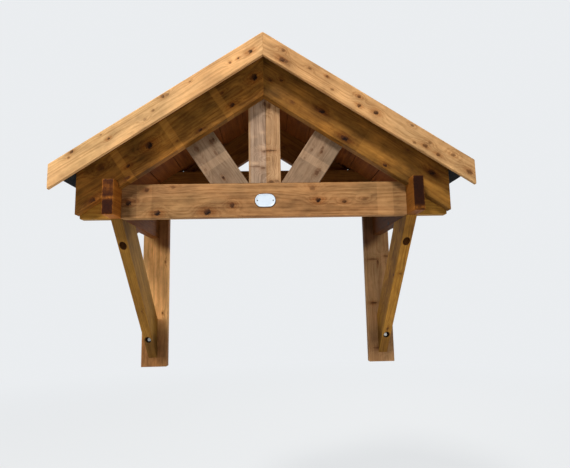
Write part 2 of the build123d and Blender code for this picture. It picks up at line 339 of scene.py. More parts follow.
@dataclass
class Stick:
    """A straight timber: a point on its centre line, its axes, its section and the planes that cut its ends.

    `along` runs with the grain, `across` is the wide way of the section and `out` is their cross product.
    Each cut is a point and a normal. A check, which is a crack along the grain, is (across, from, to, width,
    depth, side) in metres. Stations are extra shares of the length, and `reshape` moves the finished points.
    """

    origin: np.ndarray
    along: np.ndarray
    across: np.ndarray
    width: float
    thickness: float
    near: list
    far: list
    seed: int
    check: tuple = None
    stations: tuple = ()
    reshape: object = None

    def __post_init__(self):
        self.out = np.cross(self.along, self.across)

    def meet(self, cut, b, c):
        """Distance along the axis at which the lines through (b, c) of the section meet a plane."""
        point, normal = cut
        start = (point - self.origin) @ normal
        return (start - b * (self.across @ normal) - c * (self.out @ normal)) / (self.along @ normal)

    def ends(self, b, c):
        """Distances along the axis of the two cut ends, for each point of the section."""
        first = np.max([self.meet(cut, b, c) for cut in self.near], axis=0)
        last = np.min([self.meet(cut, b, c) for cut in self.far], axis=0)
        return first, last

    def flat(self, half, side):
        """Points across one wide face, and their parts in a check: whether in it, offset and depth.

        A check has five points at its place: its bottom, its two lips and two points outside them.
        """
        flat = np.linspace(-half, half, 2 * round(self.width / FLAT_STEP) + 1)
        flat = np.concatenate([flat, [-half + SHOULDER, half - SHOULDER]])
        parts = np.zeros((len(flat), 3))
        if self.check and self.check[5] == side:
            across, _, _, width, depth, _ = self.check
            keep = abs(flat - across) > CHECK_CLEARANCE
            offsets = CHECK_POINTS * width
            depths = np.where(CHECK_POINTS == 0, depth, 0.0)
            crack = np.stack([np.ones(len(offsets)), offsets, depths], axis=-1)
            flat = np.concatenate([flat[keep], np.full(len(offsets), across)])
            parts = np.concatenate([parts[keep], crack])
        order = np.lexsort((parts[:, 1], flat))
        return flat[order], parts[order]

    def section(self, arris):
        """Outline of the section, and how far each point follows arris wear and the check.

        Four flats are joined by quarter circles of the arris radius.
        """
        half_b = self.width / 2 - arris
        half_c = self.thickness / 2 - arris
        turn = np.linspace(0, np.pi / 2, 5)[1:-1]
        front, front_parts = self.flat(half_b, 1)
        back, back_parts = self.flat(half_b, -1)
        edge = np.linspace(-half_c, half_c, 5)
        plain = np.zeros((len(edge), 3))

        def corner(sign_b, sign_c, angles):
            bend_b = sign_b * (half_b + arris * np.sin(angles))
            bend_c = sign_c * (half_c + arris * np.cos(angles))
            return bend_b, bend_c, np.sin(2 * angles), np.zeros((len(angles), 3))

        outline = [
            (front, self.thickness / 2, 0.0, front_parts),
            corner(1, 1, turn),
            (self.width / 2, edge[::-1], 0.0, plain),
            corner(1, -1, turn[::-1]),
            (back[::-1], -self.thickness / 2, 0.0, back_parts[::-1]),
            corner(-1, -1, turn),
            (-self.width / 2, edge, 0.0, plain),
            corner(-1, 1, turn[::-1]),
        ]
        columns = zip(*(np.broadcast_arrays(b, c, wear) for b, c, wear, _ in outline))
        return *(np.concatenate(column) for column in columns), np.concatenate([part[3] for part in outline])

    def surface(self, settings, end_rings=6):
        """The timber's closed surface as rows of rings.

        A point of the section is carried from the near cut to the far cut. Rings close each end, drawn in
        towards the centre on the cut planes. Arrises lose a little where they wander below zero, and a
        check opens its lips and sinks its bottom by the square root of a sine between its two ends.
        """
        b, c, wear, parts = self.section(settings.arris)
        first, last = self.ends(0.0, 0.0)
        length = float(last - first)
        share = np.linspace(0, 1, max(6, round(length / settings.step)))
        share = np.sort(np.concatenate([share, self.stations]))
        shrink = np.linspace(0, 1, end_rings, endpoint=False)[1:]
        inset = np.array([1 - 2 * END_EASE / self.thickness])
        scale = np.concatenate([shrink, inset, np.ones(len(share)), inset, shrink[::-1]])
        body = slice(end_rings, end_rings + len(share))
        shares = np.concatenate([np.zeros(end_rings), share, np.ones(end_rings)])
        ring_b = scale[:, None] * b
        ring_c = scale[:, None] * c
        near, far = self.ends(ring_b, ring_c)
        t = near + (far - near) * shares[:, None]
        t[body.start] += END_EASE
        t[body.stop - 1] -= END_EASE
        run = first + shares * length
        knocks = -wander(run, self.seed, 0.31) - 0.35 + 0.25 * wander(run, self.seed + 9, 0.05)
        loss = np.zeros(len(scale))
        loss[body] = settings.wear * np.clip(knocks, 0, 1)[body]
        ring_b = ring_b - np.sign(b) * wear * loss[:, None]
        ring_c = ring_c - np.sign(c) * wear * loss[:, None]
        if self.check:
            _, start, stop, _, _, side = self.check
            along = np.clip((run - start) / (stop - start), 0, 1)
            opening = np.sqrt(np.sin(np.pi * along)) * (0.75 + 0.25 * wander(run, self.seed + 3, 0.12))
            opening = np.clip(opening, 0.06, 1.3) * scale**2
            drift = CHECK_DRIFT * wander(run, self.seed + 5, 0.42) * scale
            inside, offset, depth = parts.T
            ring_b = ring_b + inside * drift[:, None] + offset * opening[:, None]
            ring_c = ring_c - side * depth * opening[:, None]
        points = self.origin + t[..., None] * self.along + ring_b[..., None] * self.across
        points = points + ring_c[..., None] * self.out
        return self.reshape(points) if self.reshape else points

    def mesh(self, settings, **extra):
        """The timber's points and faces."""
        return capped_tube(self.surface(settings, **extra))


# The canopy's timbers


def plumb(x):
    """A cut on the upright plane at x."""
    return at(x, 0, 0), X


def level(z):
    """A cut on the level plane at height z."""
    return at(0, 0, z), Z


def square(y):
    """A cut on the plane at distance y from the wall."""
    return at(0, y, 0), Y


def roof_cut(lift, side):
    """A cut on the plane parallel to one slope, lifted off the boards' underside."""
    return at(0, 0, RIDGE) + up(side) * lift, up(side)


def slope_stick(side, drop, depth, face, back, end, **extra):
    """A rafter or bargeboard on one slope, plumb cut at the ridge and at x = end.

    Its upper edge lies `drop` below the boards' underside, measured square to the slope. The right one
    runs down from the ridge and the left one runs up to it, so that both show their `out` face forward.
    """
    origin = at(0, (face + back) / 2, RIDGE) - up(side) * (drop + depth / 2)
    near, far = ([plumb(0)], [plumb(side * end)])[::side]
    return Stick(origin, side * down(side), up(side), depth, back - face, near, far, **extra)


def rafter_notch(points):
    """Lifts the underside of a front rafter to the top of the arm between the arm's two sides.

    Heights inside the notch are drawn up in proportion, so that the lower edge lands on the arm's top
    and the upper edge stays.
    """
    x, z = abs(points[..., 0]), points[..., 2]
    top = RIDGE - SLOPE * x
    foot = top - DEPTH / COS
    lifted = top - (top - z) * (top - ARM_TOP) / (top - foot)
    inside = (x > ARM_INNER - NOTCH_GAP) & (x < ARM_OUTER + NOTCH_GAP)
    points[..., 2] = np.where(inside, lifted, z)
    return points


def front_rafter(side, seed):
    """Front rafter, with stations just inside and outside the two upright sides of its notch."""
    beside = 0.00002
    sides = np.array([ARM_INNER - NOTCH_GAP, ARM_OUTER + NOTCH_GAP])
    shares = np.concatenate([sides - beside, sides + beside]) / TAIL
    shares = shares if side > 0 else 1 - shares
    return slope_stick(
        side, 0, DEPTH, RAFTER_FACE, TIE_FACE, TAIL, seed=seed, stations=shares, reshape=rafter_notch
    )


def wall_rafter(side, seed):
    """Rafter flat on the wall."""
    return slope_stick(side, 0, DEPTH, -STOCK, 0.0, TAIL, seed=seed)


def bargeboard(side, seed):
    """Bargeboard on the ends of the roof boards."""
    drop = (RIDGE - BARGE_TOP) * COS
    return slope_stick(side, drop, BARGE_DEPTH, BARGE_FACE, BARGE_BACK, BARGE_END, seed=seed)


def tie_timber(left, right, seed, check=None):
    """Level timber in the layer behind the front rafters, between two upright planes."""
    origin = at(0, TIE_MIDDLE, ARM_LEVEL)
    return Stick(origin, X, Z, DEPTH, STOCK, [plumb(left)], [plumb(right)], seed, check)


def tie_stub(side, seed):
    """Short end of the tie beam outside the arm."""
    return tie_timber(*sorted([side * ARM_OUTER, side * STUB_END]), seed)


def king_post(y, foot, lift, seed, check=None):
    """Upright in the middle of a truss, its head cut to both slopes."""
    head = [roof_cut(lift, 1), roof_cut(lift, -1)]
    return Stick(at(0, y, foot), Z, -X, WEB, STOCK, [level(foot)], head, seed, check)


def strut(side, seed):
    """Strut square to the slope, its inner edge rising from the corner of the tie beam and king post."""
    corner = at(side * WEB / 2, TIE_MIDDLE, ARM_TOP)
    middle = corner + down(side) * WEB / 2
    return Stick(
        middle, up(side), -side * down(side), WEB, STOCK, [level(ARM_TOP)], [roof_cut(0, side)], seed
    )


def wall_collar(seed):
    """Level collar whose ends follow both slopes of the roof boards."""
    origin = at(0, -STOCK * 1.5, (low("wall_collar")[2] + high("wall_collar")[2]) / 2)
    return Stick(origin, X, Z, DEPTH, STOCK, [roof_cut(0, -1)], [roof_cut(0, 1)], seed)


def wall_post(side, seed):
    """Post flat on the wall, its head cut to the wall rafter."""
    origin = at(side * (POST_INNER + POST_OUTER) / 2, -STOCK / 2, 0)
    return Stick(origin, Z, -X, POST_WIDTH, STOCK, [level(POST_FOOT)], [roof_cut(-DEPTH, side)], seed)


def arm(side, seed):
    """Level arm from the post out through the front truss."""
    origin = at(side * ARM_MIDDLE, 0, ARM_LEVEL)
    return Stick(origin, -Y, Z, DEPTH, STOCK, [square(-STOCK)], [square(ARM_END)], seed)


def brace(side, seed):
    """Raking brace with a level head on the arm and a plumb foot on the post."""
    rise = ARM_UNDER - BRACE_FOOT
    run = -STOCK - BRACE_TOE
    fall = at(0, run, -rise) / math.hypot(run, rise)
    inward = at(0, rise, run) / math.hypot(run, rise)
    origin = at(side * ARM_MIDDLE, BRACE_TOE, ARM_UNDER) + inward * DEPTH / 2
    return Stick(origin, fall, inward, DEPTH, STOCK, [level(ARM_UNDER)], [square(-STOCK)], seed)


def roof_board(side, index, seed):
    """One roof board from the wall to the bargeboard, its underside facing out."""
    gauge = BOARD_RUN / BOARDS_PER_SLOPE
    start = index * gauge + (BOARD_GAP if index else 0)
    stop = (index + 1) * gauge
    origin = at(0, 0, RIDGE) + down(side) * (start + stop) / 2 + up(side) * BOARD_THICKNESS / 2
    near, far = ([square(BARGE_BACK)], [square(0.0)])[::side]

    def ridge_mitre(points):
        """Draws the ridge edge over to the plumb plane of the ridge, by lift * tan(pitch)."""
        offset = points - at(0, 0, RIDGE)
        share = 1 - np.clip((offset @ down(side)) / gauge, 0, 1)
        return points - (share * (offset @ up(side)) * SLOPE)[..., None] * down(side)

    return Stick(
        origin, side * Y, down(side), stop - start, BOARD_THICKNESS, near, far, seed,
        reshape=None if index else ridge_mitre,
    )


# Node materials


def linear(colour, gain=1.0):
    """Scene-linear value of a colour as seen, times a gain, with an alpha of one."""
    values = [c / 12.92 if c <= 0.04045 else ((c + 0.055) / 1.055) ** 2.4 for c in colour]
    return *(gain * value for value in values), 1.0


class Wiring:
    """A node tree being filled, one node a call."""

    def __init__(self, tree):
        self.tree = tree

    def feed(self, socket, value):
        """Links a socket's input, or sets its own value."""
        if isinstance(value, bpy.types.NodeSocket):
            self.tree.links.new(value, socket)
        elif value is not None:
            socket.default_value = value

    def add(self, kind, *values, **settings):
        """A node of this kind with its settings, and its inputs in order."""
        node = self.tree.nodes.new(kind)
        for name, value in settings.items():
            setattr(node, name, value)
        for socket, value in zip(node.inputs, values):
            self.feed(socket, value)
        return node

    def fill(self, node, **values):
        """Feeds inputs of a node by their names, in which _ stands for a space."""
        for name, value in values.items():
            self.feed(node.inputs[name.replace("_", " ")], value)
        return node

    def use(self, name, **values):
        """Outputs by name of one of the node groups below, which is made on its first use."""
        if name not in bpy.data.node_groups:
            make_group(name, *NODE_GROUPS[name])
        node = self.fill(self.add("ShaderNodeGroup", node_tree=bpy.data.node_groups[name]), **values)
        return {socket.name: socket for socket in node.outputs}

    def math(self, operation, *values, clamp=False):
        return self.add("ShaderNodeMath", *values, operation=operation, use_clamp=clamp).outputs[0]

    def plus(self, first, second):
        return self.math("ADD", first, second)

    def minus(self, first, second):
        return self.math("SUBTRACT", first, second)

    def times(self, first, second):
        return self.math("MULTIPLY", first, second)

    def greater(self, first, second):
        return self.math("MAXIMUM", first, second)

    def absolute(self, value):
        return self.math("ABSOLUTE", value)

    def swing(self, noise, amount):
        """A noise value, less its middle of one half, times an amount."""
        return self.times(self.minus(noise, 0.5), amount)

    def bell(self, distance):
        """Bell curve of a distance: one at zero, falling with its square."""
        return self.math("EXPONENT", self.times(self.times(distance, distance), -1.0))

    def vector(self, operation, *values):
        return self.add("ShaderNodeVectorMath", *values, operation=operation).outputs[0]

    def scaled(self, vector, scale):
        return self.vector("MULTIPLY", vector, scale)

    def moved(self, vector, shift):
        return self.vector("ADD", vector, shift)

    def less(self, vector, other):
        return self.vector("SUBTRACT", vector, other)

    def dot(self, vector, axis):
        return self.add("ShaderNodeVectorMath", vector, tuple(axis), operation="DOT_PRODUCT").outputs[1]

    def length(self, vector):
        return self.add("ShaderNodeVectorMath", vector, operation="LENGTH").outputs[1]

    def split(self, vector):
        return self.add("ShaderNodeSeparateXYZ", vector).outputs

    def join(self, x, y, z):
        return self.add("ShaderNodeCombineXYZ", x, y, z).outputs[0]

    def noise_outputs(self, vector, scale, detail=2.0, roughness=0.5):
        """Value and colour of a noise; scale stretches each axis."""
        node = self.add("ShaderNodeTexNoise")
        place = self.scaled(vector, scale)
        return self.fill(node, Vector=place, Scale=1.0, Detail=detail, Roughness=roughness).outputs

    def noise(self, *values):
        """Noise between about 0.25 and 0.75."""
        return self.noise_outputs(*values)[0]

    def jitter(self, *values):
        """Noise vector about zero."""
        return self.less(self.noise_outputs(*values)[1], (0.5, 0.5, 0.5))

    def step(self, value, start, stop, low=0.0, high=1.0):
        """Smooth step of value from low at start to high at stop."""
        node = self.add("ShaderNodeMapRange", value, start, stop, low, high, interpolation_type="SMOOTHSTEP")
        return node.outputs[0]

    def mix(self, share, first, second, blend="MIX"):
        node = self.add("ShaderNodeMix", data_type="RGBA", blend_type=blend, clamp_factor=True)
        self.feed(node.inputs[0], share)
        self.feed(node.inputs[6], first)
        self.feed(node.inputs[7], second)
        return node.outputs[2]

    def tint(self, colour, red, green, blue):
        """A colour times constants."""
        return self.mix(1.0, colour, (red, green, blue, 1.0), blend="MULTIPLY")

    def stain(self, share, colour, red, green, blue):
        """A colour, times constants where the share is one."""
        return self.mix(share, colour, self.tint(colour, red, green, blue))

    def shade(self, colour, value):
        """A colour times one value."""
        return self.mix(1.0, colour, self.join(value, value, value), blend="MULTIPLY")

    def seen_rays(self):
        """One for rays from the camera, and for those that gloss and glass send on."""
        path = self.add("ShaderNodeLightPath").outputs
        seen = self.greater(path["Is Camera Ray"], path["Is Glossy Ray"])
        return self.greater(seen, path["Is Transmission Ray"])

    def mix_shaders(self, share, first, second):
        return self.add("ShaderNodeMixShader", share, first.outputs[0], second.outputs[0]).outputs[0]

    def principled(self, colour, roughness, height, relief, specular=0.08):
        """Shader with linked colour and roughness, and a bump whose height is in metres."""
        bump = self.fill(self.add("ShaderNodeBump"), Distance=relief, Strength=0.8, Height=height)
        return self.fill(
            self.tree.nodes["Principled BSDF"], Base_Color=colour, Roughness=roughness,
            Specular_IOR_Level=specular, Normal=bump.outputs[0],
        )


def new_material(name):
    """A material, its wiring and its texture coordinates."""
    material = bpy.data.materials.new(name)
    material.use_nodes = True
    w = Wiring(material.node_tree)
    return material, w, w.add("ShaderNodeTexCoord").outputs


def branch_knot(w, grain, place, size, tone, distance, reach, bend, darkness):
    """A branch through the timber at a place on its face, added to the knots before it.

    The distance to the knot is measured in its own radii after a little noise, and kept if it is the
    nearest so far. The reach falls more slowly with the grain than across it, and bends the rings. One
    side of the knot is darker than the other.
    """
    rough = w.jitter(grain, (120, 160, 20), 4.0, 0.75)
    offset = w.moved(w.less(grain, place), w.scaled(rough, w.scaled(size, (2.1, 1.8, 0.0))))
    flat = w.scaled(offset, (1, 1, 0))
    shape = w.vector("DIVIDE", flat, size)
    near = w.length(shape)
    closer = w.math("LESS_THAN", near, distance)
    hill = w.bell(w.length(w.vector("DIVIDE", flat, w.scaled(size, (3.4, 2.1, 1.0)))))
    own = w.times(tone, w.step(w.dot(shape, (0.5, -0.6, 0.0)), -0.8, 0.6, 0.55, 1.1))
    return (
        w.math("MINIMUM", near, distance),
        w.greater(w.times(hill, tone), reach),
        w.plus(w.times(hill, w.times(w.split(size)[1], 2.2)), bend),
        w.plus(w.times(darkness, w.minus(1.0, closer)), w.times(own, closer)),
    )


def scattered_knots(w, grain, seed, size):
    """Small knots at the random cell points of a stretched Voronoi pattern, about three to a metre."""
    spread = (0.30, 0.085, 1.0)
    shift = w.join(w.times(seed, 3.7), w.times(seed, 1.9), 0.0)
    flat = w.scaled(w.moved(w.vector("DIVIDE", grain, spread), shift), (1, 1, 0))
    voronoi = w.add("ShaderNodeTexVoronoi", voronoi_dimensions="2D", feature="F1")
    chosen = w.fill(voronoi, Vector=flat, Scale=1.0).outputs
    chance, darkness, _ = w.split(chosen["Color"])
    radius = w.times(size, w.step(chance, 0.2, 1.0, 0.05, 1.0))
    rough = w.jitter(grain, (85, 110, 20), 3.0, 0.6)
    ragged = w.scaled(rough, w.vector("SCALE", (1.6, 1.4, 0.0), None, None, radius))
    offset = w.moved(w.scaled(w.less(flat, chosen["Position"]), spread), ragged)
    near = w.math("DIVIDE", w.length(w.scaled(offset, (0.8, 1.0, 0.0))), radius)
    hill = w.bell(w.math("DIVIDE", w.length(w.scaled(offset, (0.28, 0.55, 0.0))), radius))
    return near, w.times(hill, darkness), w.times(hill, w.times(radius, 1.4)), darkness


def soft_patch(w, grain, place, size, pale, dull, paler, duller):
    """A soft-edged oval of paler or duller wood: a bell curve of the distance, broken up by noise."""
    away = w.length(w.vector("DIVIDE", w.scaled(w.less(grain, place), (1, 1, 0)), size))
    uneven = w.step(w.noise(grain, (22, 70, 70), 4.0, 0.6), 0.3, 0.62, 0.35, 1.1)
    amount = w.times(w.bell(away), uneven)
    return w.greater(w.times(amount, pale), paler), w.greater(w.times(amount, dull), duller)


def planed_softwood(w, grain, half, pith, tone, knot, gap, seed, contrast, clouds, distance, reach, bend,
                    darkness, paler, duller, end, grey, dark):
    """Planed softwood as a solid pattern in the timber's own coordinates: x along, y across, z through.

    Rings are the distance from a pith line, bent by slow noise and by the knots, cut into growth rings
    that darken slowly and end sharply. Fibres, streaks, stains and clouds are noises drawn out along x.
    """
    # growth rings round the pith
    place = w.moved(grain, w.join(w.times(seed, 1.7), w.times(seed, 0.9), w.times(seed, 0.6)))
    sway = w.scaled(w.jitter(place, (2.6, 10, 10)), (0, 0.030, 0.030))
    radius = w.plus(w.length(w.scaled(w.moved(w.less(grain, pith), sway), (0, 1, 1))), bend)
    phase = w.plus(w.math("DIVIDE", radius, gap), w.times(w.noise(place, (5, 34, 34), 3.0), 1.1))
    ring = w.math("FRACT", phase)
    number = w.plus(w.math("FLOOR", phase), seed)
    vary = w.add("ShaderNodeTexWhiteNoise", None, number, noise_dimensions="1D").outputs[0]
    late = w.times(w.step(ring, 0.2, 0.86), w.step(ring, 1.0, 0.93))
    late = w.times(late, w.plus(w.times(vary, 0.8), 0.3))

    # fibres, streaks, mottle, clouds and slow changes of hue
    fibre = w.noise(place, (11, 520, 520), 3.0, 0.65)
    streak = w.noise(place, (2.2, 95, 95), 4.0, 0.6)
    mottle = w.noise(place, (38, 60, 60), 4.0, 0.65)
    cloud = w.noise(place, (7, 17, 17), 4.0, 0.62)
    drift = w.noise(place, (1.8, 5, 5))
    early = w.tint(tone, 1.10, 1.11, 1.10)
    figure = w.plus(w.swing(streak, 2.4), w.plus(w.swing(fibre, 1.0), w.swing(mottle, 0.9)))
    share = w.plus(w.times(w.plus(w.times(late, 0.62), figure), contrast), 0.12)
    share = w.math("ADD", share, w.times(end, 0.35), clamp=True)
    colour = w.mix(share, early, w.tint(tone, 0.62, 0.52, 0.40))
    colour = w.shade(colour, w.plus(w.swing(cloud, clouds), 1.0))
    colour = w.stain(w.times(w.step(drift, 0.38, 0.66), 0.4), colour, 1.10, 0.92, 0.72)
    colour = w.stain(w.times(w.step(drift, 0.5, 0.3), 0.4), colour, 0.90, 0.98, 0.92)
    faded = w.add("ShaderNodeHueSaturation", 0.5, 0.5, 0.96, 1.0, colour).outputs[0]
    colour = w.mix(grey, colour, faded)

    # pale bands where laths lay, dull stains and hairline checks
    lighter = w.tint(w.mix(0.5, colour, early), 1.72, 1.74, 1.80)
    colour = w.mix(w.times(paler, 0.75), colour, lighter)
    colour = w.stain(duller, colour, 0.52, 0.47, 0.42)
    hair = w.step(w.noise(place, (6, 240, 240)), 0.685, 0.74)
    colour = w.stain(w.times(hair, 0.5), colour, 0.42, 0.34, 0.28)

    # knots: stained reach, ringed heart, dark bark round the firmest
    soaked = w.times(w.step(reach, 0.05, 0.8), w.step(streak, 0.36, 0.6, 0.45, 0.85))
    colour = w.stain(soaked, colour, 0.60, 0.40, 0.24)
    speck = w.step(w.noise(place, (210, 260, 60), 3.0, 0.6), 0.44, 0.62)
    heart = w.minus(2.2, w.times(darkness, 1.75))
    heart = w.plus(heart, w.times(w.math("SINE", w.times(distance, 14.0)), 0.16))
    heart = w.times(w.minus(heart, w.times(speck, 0.4)), w.step(distance, 0.25, 0.95, 0.62, 1.25))
    core = w.times(w.step(distance, 1.3, 0.75), w.plus(w.times(darkness, 0.75), 0.25))
    colour = w.mix(core, colour, w.shade(knot, heart))
    broken = w.step(w.noise(place, (120, 150, 40)), 0.42, 0.6)
    bark = w.times(w.times(w.step(distance, 1.25, 0.98), w.step(distance, 0.7, 0.95)), broken)
    bark = w.times(bark, w.step(darkness, 0.45, 0.9))
    colour = w.mix(bark, colour, w.tint(knot, 0.25, 0.22, 0.20))

    # end grain soaks up more stain inside a ragged rim, and arrises are paler: rubbed wear and painted
    # highlight
    _, edge_y, edge_z = w.split(w.less(w.vector("ABSOLUTE", grain), half))
    ragged = w.times(w.noise(place, (30, 130, 130), 4.0, 0.65), 0.016)
    inside = w.step(w.plus(w.greater(edge_y, edge_z), ragged), 0.009, 0.004, 0.4, 1.0)
    inside = w.times(inside, w.minus(1.0, w.times(paler, 0.5)))
    colour = w.stain(w.times(end, inside), colour, 0.11, 0.065, 0.025)
    corner = w.step(w.math("MINIMUM", edge_y, edge_z), -0.0052, -0.0012)
    worn_and_highlit = w.times(corner, w.step(w.noise(place, (9, 60, 60), 3.0), 0.36, 0.6))
    colour = w.mix(w.times(worn_and_highlit, 0.55), colour, w.tint(w.mix(0.4, colour, tone), 1.35, 1.33, 1.28))
    # painted shade from the dark spots, and on the tie beam the dirt and painted shadow round the plate
    colour = w.stain(dark, colour, 0.13, 0.07, 0.04)

    roughness = w.minus(w.plus(w.times(fibre, 0.22), 0.52), w.times(core, 0.12))
    height = w.plus(w.times(fibre, 0.5), w.times(late, 0.35))
    height = w.plus(height, w.times(w.minus(core, bark), 0.8))
    return colour, roughness, w.minus(height, w.times(hair, 1.2))


# How each node group is filled, and the words that name its inputs and its outputs by kind
NEAREST_KNOT = "distance reach bend darkness"
NODE_GROUPS = {
    "Branch knot": (
        branch_knot,
        {"Vector": "grain place size", "Float": "tone " + NEAREST_KNOT},
        {"Float": NEAREST_KNOT},
    ),
    "Scattered knots": (
        scattered_knots,
        {"Vector": "grain", "Float": "seed size"},
        {"Float": NEAREST_KNOT},
    ),
    "Soft patch": (
        soft_patch,
        {"Vector": "grain place size", "Float": "pale dull paler duller"},
        {"Float": "paler duller"},
    ),
    "Planed softwood": (
        planed_softwood,
        {
            "Vector": "grain half pith",
            "Color": "tone knot",
            "Float": "gap seed contrast clouds paler duller end grey dark " + NEAREST_KNOT,
        },
        {"Color": "colour", "Float": "roughness height"},
    ),
}


def make_group(name, contents, inputs, outputs):
    """A node group; contents(wiring, **inputs) gives the values of its outputs in order."""
    group = bpy.data.node_groups.new(name, "ShaderNodeTree")
    for direction, kinds in (("INPUT", inputs), ("OUTPUT", outputs)):
        for kind, words in kinds.items():
            for word in words.split():
                group.interface.new_socket(word, in_out=direction, socket_type="NodeSocket" + kind)
    w = Wiring(group)
    entry = w.add("NodeGroupInput").outputs
    w.add("NodeGroupOutput", *contents(w, **{socket.name: socket for socket in entry if socket.name}))


@dataclass
class Spot:
    """A round place about an axis, in metres, with a soft edge at its radius.

    It stops at its reach along the axis, and `straight` draws it out along X each way.
    """

    middle: np.ndarray
    axis: np.ndarray
    reach: float
    radius: float
    softness: float
    strength: float
    straight: float = 0.0


@dataclass
class Look:
    """How one timber is marked: its colour, its pith, its knots and the bands across it.

    Knots are (along, across, radius along, radius across, darkness) on the stick's own axes, and edge
    knots lie the same way on the narrow faces. Bands are (along, width, strength), pale where the
    strength is above zero and dull where it is below, and patches are (along, across, radius along,
    radius across, strength). All lengths are in millimetres. Greyness is one number, or (number, from,
    to) between two places across. Dark places are spots of painted shade, and on the tie beam the dirt
    with painted shadow round the plate.
    to) between two places across. Dark places are spots.
    """

    tone: str
    pith: tuple
    contrast: float = 1.0
    clouds: float = 1.2
    gain: float = 1.0
    grey: object = 0.0
    scatter: float = 0.0
    end_stain: float = 0.5
    bands: tuple = ()
    knots: tuple = ()
    edge_knots: tuple = ()
    patches: tuple = ()
    dark: tuple = ()

    def carried(self, along=0.0, along_sign=1, across=0.0, across_sign=1):
        """The look with its marks carried into a stick's axes by a shift and a sign each way."""

        def carry(marks):
            return [(along + along_sign * m[0], across + across_sign * m[1], *m[2:]) for m in marks]

        bands = [(along + along_sign * place, *band) for place, *band in self.bands]
        return replace(self, bands=bands, knots=carry(self.knots), patches=carry(self.patches))

    def on_slope(self, side, depth):
        """The look of marks given down the slope from the lower edge's apex and up from that edge."""
        return self.carried(side * depth * SLOPE / MM, side, -depth / 2 / MM)


def spot_shares(w, place, spots):
    """How far a place lies in any of some spots: a soft step at each one's radius off its axis.

    The distance off the axis is the length of the cross product of the axis and the offset, whose X is
    first shortened by the straight part of the outline.
    """
    share = 0.0
    for spot in spots:
        offset = w.less(place, tuple(spot.middle))
        x, y, z = w.split(offset)
        near = w.math("LESS_THAN", w.absolute(w.dot(offset, spot.axis)), spot.reach)
        beyond = w.greater(w.minus(w.absolute(x), spot.straight), 0.0)
        off_axis = w.length(w.vector("CROSS_PRODUCT", w.join(beyond, y, z), tuple(spot.axis)))
        inside = w.step(off_axis, spot.radius + spot.softness, spot.radius - spot.softness)
        share = w.greater(w.times(inside, w.times(near, spot.strength)), share)
    return share


def nearest_knot(w, grain, stick, look):
    """Distance, reach, bend and darkness of the nearest of a look's knots."""
    knot = {"distance": 9.0, "reach": 0.0, "bend": 0.0, "darkness": 0.0}
    if look.scatter:
        knot = w.use("Scattered knots", grain=grain, seed=stick.seed * 0.37, size=look.scatter * MM)
    x, y, z = w.split(grain)
    for face, marks in ((grain, look.knots), (w.join(x, z, y), look.edge_knots)):
        for along, across, radius_along, radius_across, darkness in marks:
            place = (along * MM, across * MM, 0.0)
            size = (radius_along * MM, radius_across * MM, 1.0)
            knot = w.use("Branch knot", grain=face, place=place, size=size, tone=darkness, **knot)
    return knot


def bands_and_patches(w, grain, look):
    """How much paler and duller a look's bands and patches leave the wood."""
    soft = 1.5 * MM
    tones = {"paler": 0.0, "duller": 0.0}
    x = w.split(grain)[0]
    for along, width, strength in look.bands:
        away = w.absolute(w.minus(x, along * MM))
        stripe = w.step(away, width * MM / 2 + soft, width * MM / 2 - soft, 0.0, abs(strength))
        kind = "paler" if strength > 0 else "duller"
        tones[kind] = w.greater(stripe, tones[kind])
    for along, across, radius_along, radius_across, strength in look.patches:
        tones = w.use(
            "Soft patch", grain=grain, place=(along * MM, across * MM, 0.0),
            size=(radius_along * MM, radius_across * MM, 1.0), pale=max(strength, 0.0),
            dull=max(-strength, 0.0), **tones,
        )
    return tones


def face_grey(w, across, grey):
    """Greyness of the face, with a soft edge at each of its two places where it has them."""
    if isinstance(grey, float):
        return grey
    amount, start, stop = grey
    sharp = 2 * MM
    soft = 6 * MM
    after = w.step(across, start * MM - sharp, start * MM + sharp)
    before = w.step(across, stop * MM + soft, stop * MM - soft)
    return w.times(w.times(after, before), amount)


def timber_material(name, stick, look, settings):
    """Softwood laid in one stick: object coordinates are turned into the stick's own by a Mapping node."""
    material, w, coordinates = new_material(name)
    axes = Matrix([stick.along, stick.across, stick.out])
    shift = tuple(-(axes @ Vector(stick.origin)))
    turn = tuple(axes.to_euler())
    mapping = w.add("ShaderNodeMapping", coordinates["Object"], shift, turn, vector_type="POINT")
    grain = mapping.outputs[0]
    facing = w.absolute(w.dot(coordinates["Normal"], stick.along))
    wood = w.use(
        "Planed softwood", grain=grain, half=(0.0, stick.width / 2, stick.thickness / 2),
        pith=(0.0, look.pith[0] * MM, look.pith[1] * MM), gap=settings.ring_gap, seed=stick.seed * 1.37,
        tone=linear(getattr(settings, look.tone), look.gain), knot=linear(settings.knot),
        contrast=look.contrast, clouds=look.clouds, end=w.step(facing, 0.78, 0.92, 0.0, look.end_stain),
        grey=face_grey(w, w.split(grain)[1], look.grey),
        dark=spot_shares(w, coordinates["Object"], look.dark),
        **nearest_knot(w, grain, stick, look), **bands_and_patches(w, grain, look),
    )
    w.principled(wood["colour"], wood["roughness"], wood["height"], 0.5 * MM)
    return material


def lay_timber(node, stick, look):
    """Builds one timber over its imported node."""
    settings = bpy.context.scene.canopy_timber
    material = timber_material(node + "_softwood", stick, look, settings)
    return build_piece(node + "_timber", stick.mesh(settings), [node], material)


